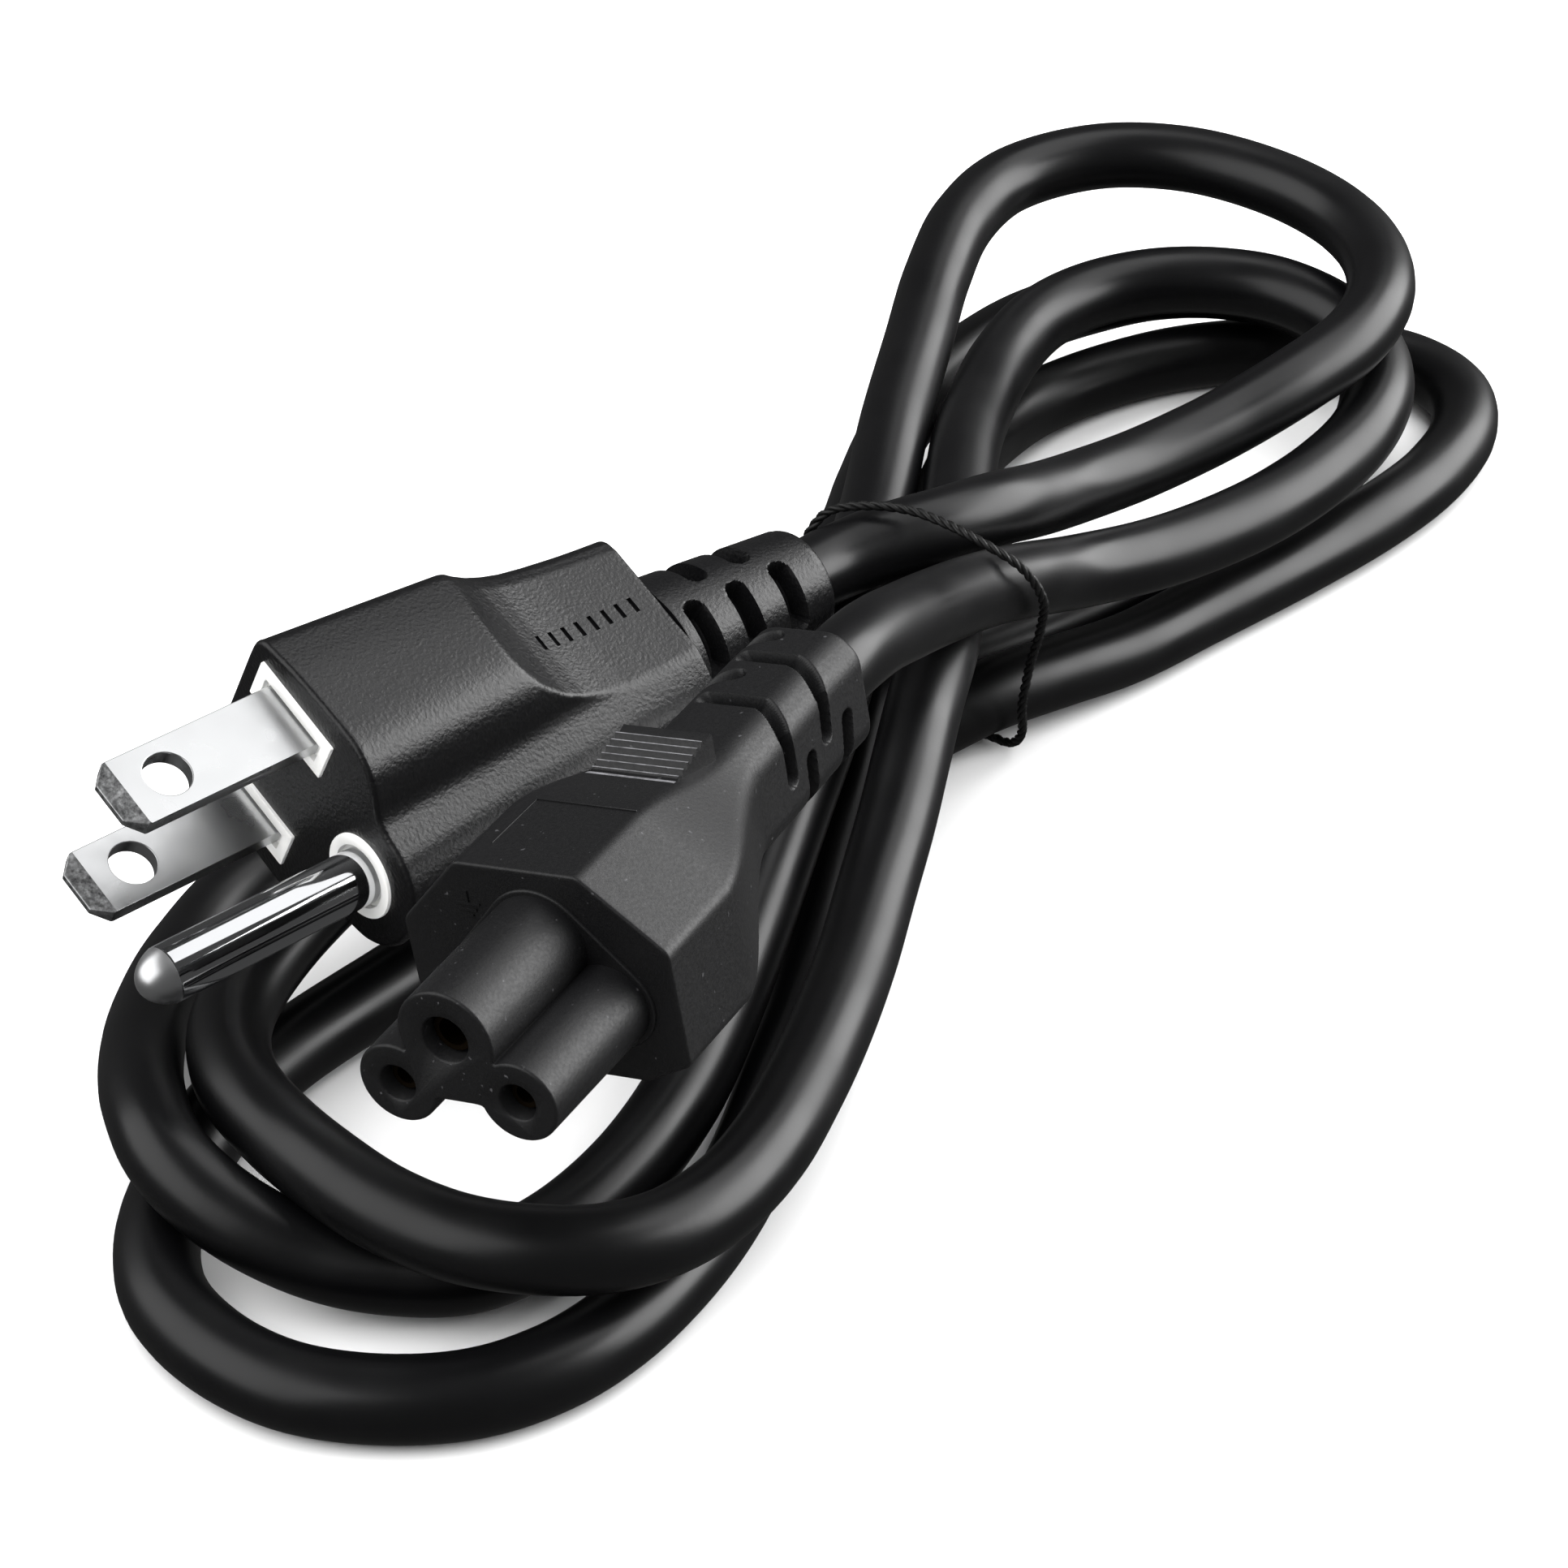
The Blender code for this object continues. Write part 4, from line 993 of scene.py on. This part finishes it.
for q, u, diameter in (
    (side, connector["liveHeight"], connector["liveHole"]),
    (-side, connector["liveHeight"], connector["liveHole"]),
    (0.0, connector["earthHeight"], connector["earthHole"]),
):
    radius = diameter / 2
    bore = [
        (connector["length"] - connector["holeDepth"], roundRing(q, u, radius, 48)),
        (connector["length"] - 0.15, roundRing(q, u, radius, 48)),
        (connector["length"] + 0.05, roundRing(q, u, radius + 0.2, 48)),
        (connector["length"] + 1.0, roundRing(q, u, radius + 0.2, 48)),
    ]
    combine(connectorBody, skin("bore", connectorFrame, bore, None), "DIFFERENCE")
softEdges(connectorBody, 60)
# The pale colour on the ridge tops is a painted highlight
connectorBody.data.materials.append(ridgeTopHighlightPvc)
padLow, padHigh = connector["padBack"][0], connector["padFront"][0]
for face in connectorBody.data.polygons:  # the tops of the ridges get a painted highlight, a paler colour
    offset = np.array(face.center) / mm - connectorFrame[0]
    s, q, u = (offset @ axis for axis in connectorFrame[1:])
    bed = frontU + (backU - frontU) * (frontS - s) / (frontS - backS)
    if padLow < s < padHigh and abs(q - connector["padAside"]) < padHalf + 0.01 and u > bed + 0.31:
        face.material_index = 1
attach(connectorBody, "root")
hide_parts("connector_body")
print("connector moulded:", len(connectorBody.data.polygons), "faces")

for node in ("contact_sleeve_live", "contact_sleeve_neutral", "contact_sleeve_earth"):
    sleeve = bpy.data.objects[node]
    sleeve.data.materials.clear()
    # The sleeves' very dark bronze colour is painted shade
    sleeve.data.materials.append(bronze)

# Wire tie: three thin strands twisted together
tie = {
    "strand": 0.26,  # radius
    "twist": 0.20,  # how far each strand lies from the middle
    "pitch": 3.2,
    "step": 0.35,
    "sides": 10,
}
tieRoute = [
    (0.6, 6.7, 22.8), (1.9, 5.0, 26.3), (3.6, 1.8, 27.6), (5.4, -1.6, 27.8), (6.0, -5.2, 27.8),
    (6.2, -8.9, 27.6), (7.7, -12.7, 25.8), (9.7, -13.7, 22.0), (11.2, -12.4, 17.6), (11.8, -10.8, 12.4),
    (12.2, -9.8, 7.6), (13.2, -9.0, 3.4), (14.0, -7.0, 1.0), (13.8, -4.0, 0.6), (12.2, -0.8, 0.6),
    (9.5, 2.2, 0.6), (6.6, 6.2, 0.6), (5.2, 9.4, 1.4), (4.6, 10.9, 5.0), (4.2, 10.1, 9.0),
    (3.8, 9.9, 12.4), (2.5, 8.9, 17.0), (1.0, 7.6, 20.4),
]
tiePath = smoothRoute(tieRoute, tie["step"], closed=True) - middle
tieCount = len(tiePath)
tangents = np.roll(tiePath, -1, 0) - np.roll(tiePath, 1, 0)
tangents /= np.linalg.norm(tangents, axis=1)[:, None]
sideways = [np.cross(tangents[0], (0.0, 0.0, 1.0))]
for tangent in tangents[1:]:
    carried = sideways[-1] - tangent * (sideways[-1] @ tangent)
    sideways.append(carried)
sideways = np.array([v / np.linalg.norm(v) for v in sideways])
closing = np.cross(sideways[-1], sideways[0]) @ tangents[0]
drift = math.atan2(closing, sideways[-1] @ sideways[0])
upwards = np.cross(tangents, sideways)
tieLength = np.linalg.norm(np.roll(tiePath, -1, 0) - tiePath, axis=1).sum()
turnsRound = round(tieLength / tie["pitch"])
tieVerts, tieFaces = [], []
for strand in range(3):
    first = len(tieVerts)
    for k in range(tieCount):
        share = k / tieCount
        turn = 2 * math.pi * (turnsRound * share + strand / 3) + drift * share
        centre = tiePath[k] + tie["twist"] * (sideways[k] * math.cos(turn) + upwards[k] * math.sin(turn))
        for m in range(tie["sides"]):
            a = 2 * math.pi * m / tie["sides"] + turn
            outwards = sideways[k] * math.cos(a) + upwards[k] * math.sin(a)
            tieVerts.append((centre + tie["strand"] * outwards) * mm)
    for k in range(tieCount):
        following = (k + 1) % tieCount
        for m in range(tie["sides"]):
            n = (m + 1) % tie["sides"]
            tieFaces.append((
                first + k * tie["sides"] + m, first + k * tie["sides"] + n,
                first + following * tie["sides"] + n, first + following * tie["sides"] + m,
            ))
wireTie = newPiece("wireTie", np.array(tieVerts), tieFaces, tieCoat)
wireTie.data.shade_smooth()
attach(wireTie, "root")
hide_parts("twist_tie")
print("tie twisted:", turnsRound, "turns")

# Studio: a pale sweep and soft lights
studio = {
    "floor": "#f4f4f4",
    "keyPower": 34.0,
    "topPower": 4.5,
    "leftPower": 11.0,
    "washPower": 72.0,  # lights the floor and the white parts, but makes no highlights
    "surround": 0.07,
}
floorMesh = bpy.data.meshes.new("studioFloor")
wide = 3.0
floorCorners = [(-wide, -wide, 0), (wide, -wide, 0), (wide, wide, 0), (-wide, wide, 0)]
floorMesh.from_pydata(floorCorners, [], [(0, 1, 2, 3)])
floor = bpy.data.objects.new("studioFloor", floorMesh)
bpy.context.collection.objects.link(floor)
floorMesh.materials.append(newMaterial("paleSweepPaper", studio["floor"], 0.0, 0.9)[0])
floor.visible_glossy = False  # the black mouldings keep their dark undersides


def softLight(name, direction, distance, width, height, power, highlights=True):
    data = bpy.data.lights.new(name, "AREA")
    data.shape = "RECTANGLE"
    data.size, data.size_y = width, height
    data.energy = power
    light = bpy.data.objects.new(name, data)
    azimuth, elevation = (math.radians(angle) for angle in direction)
    light.location = (
        distance * math.cos(elevation) * math.cos(azimuth),
        distance * math.cos(elevation) * math.sin(azimuth),
        distance * math.sin(elevation),
    )
    light.rotation_euler = light.location.to_track_quat("Z", "Y").to_euler()
    light.visible_glossy = highlights
    bpy.context.collection.objects.link(light)


softLight("keySoftbox", (-30.0, 25.0), 1.5, 1.8, 1.1, studio["keyPower"])
softLight("topSoftbox", (-6.0, 60.0), 1.5, 1.3, 0.8, studio["topPower"])
softLight("leftSoftbox", (150.0, 36.0), 1.2, 2.0, 1.2, studio["leftPower"])
softLight("overheadWash", (200.0, 80.0), 1.6, 2.4, 2.4, studio["washPower"], highlights=False)
world = bpy.data.worlds.new("studioSurround")
world.use_nodes = True
world.node_tree.nodes["Background"].inputs["Color"].default_value = (1.0, 1.0, 1.0, 1.0)
world.node_tree.nodes["Background"].inputs["Strength"].default_value = studio["surround"]
bpy.context.scene.world = world
bpy.context.scene.view_settings.view_transform = "Standard"
print("studio lit")
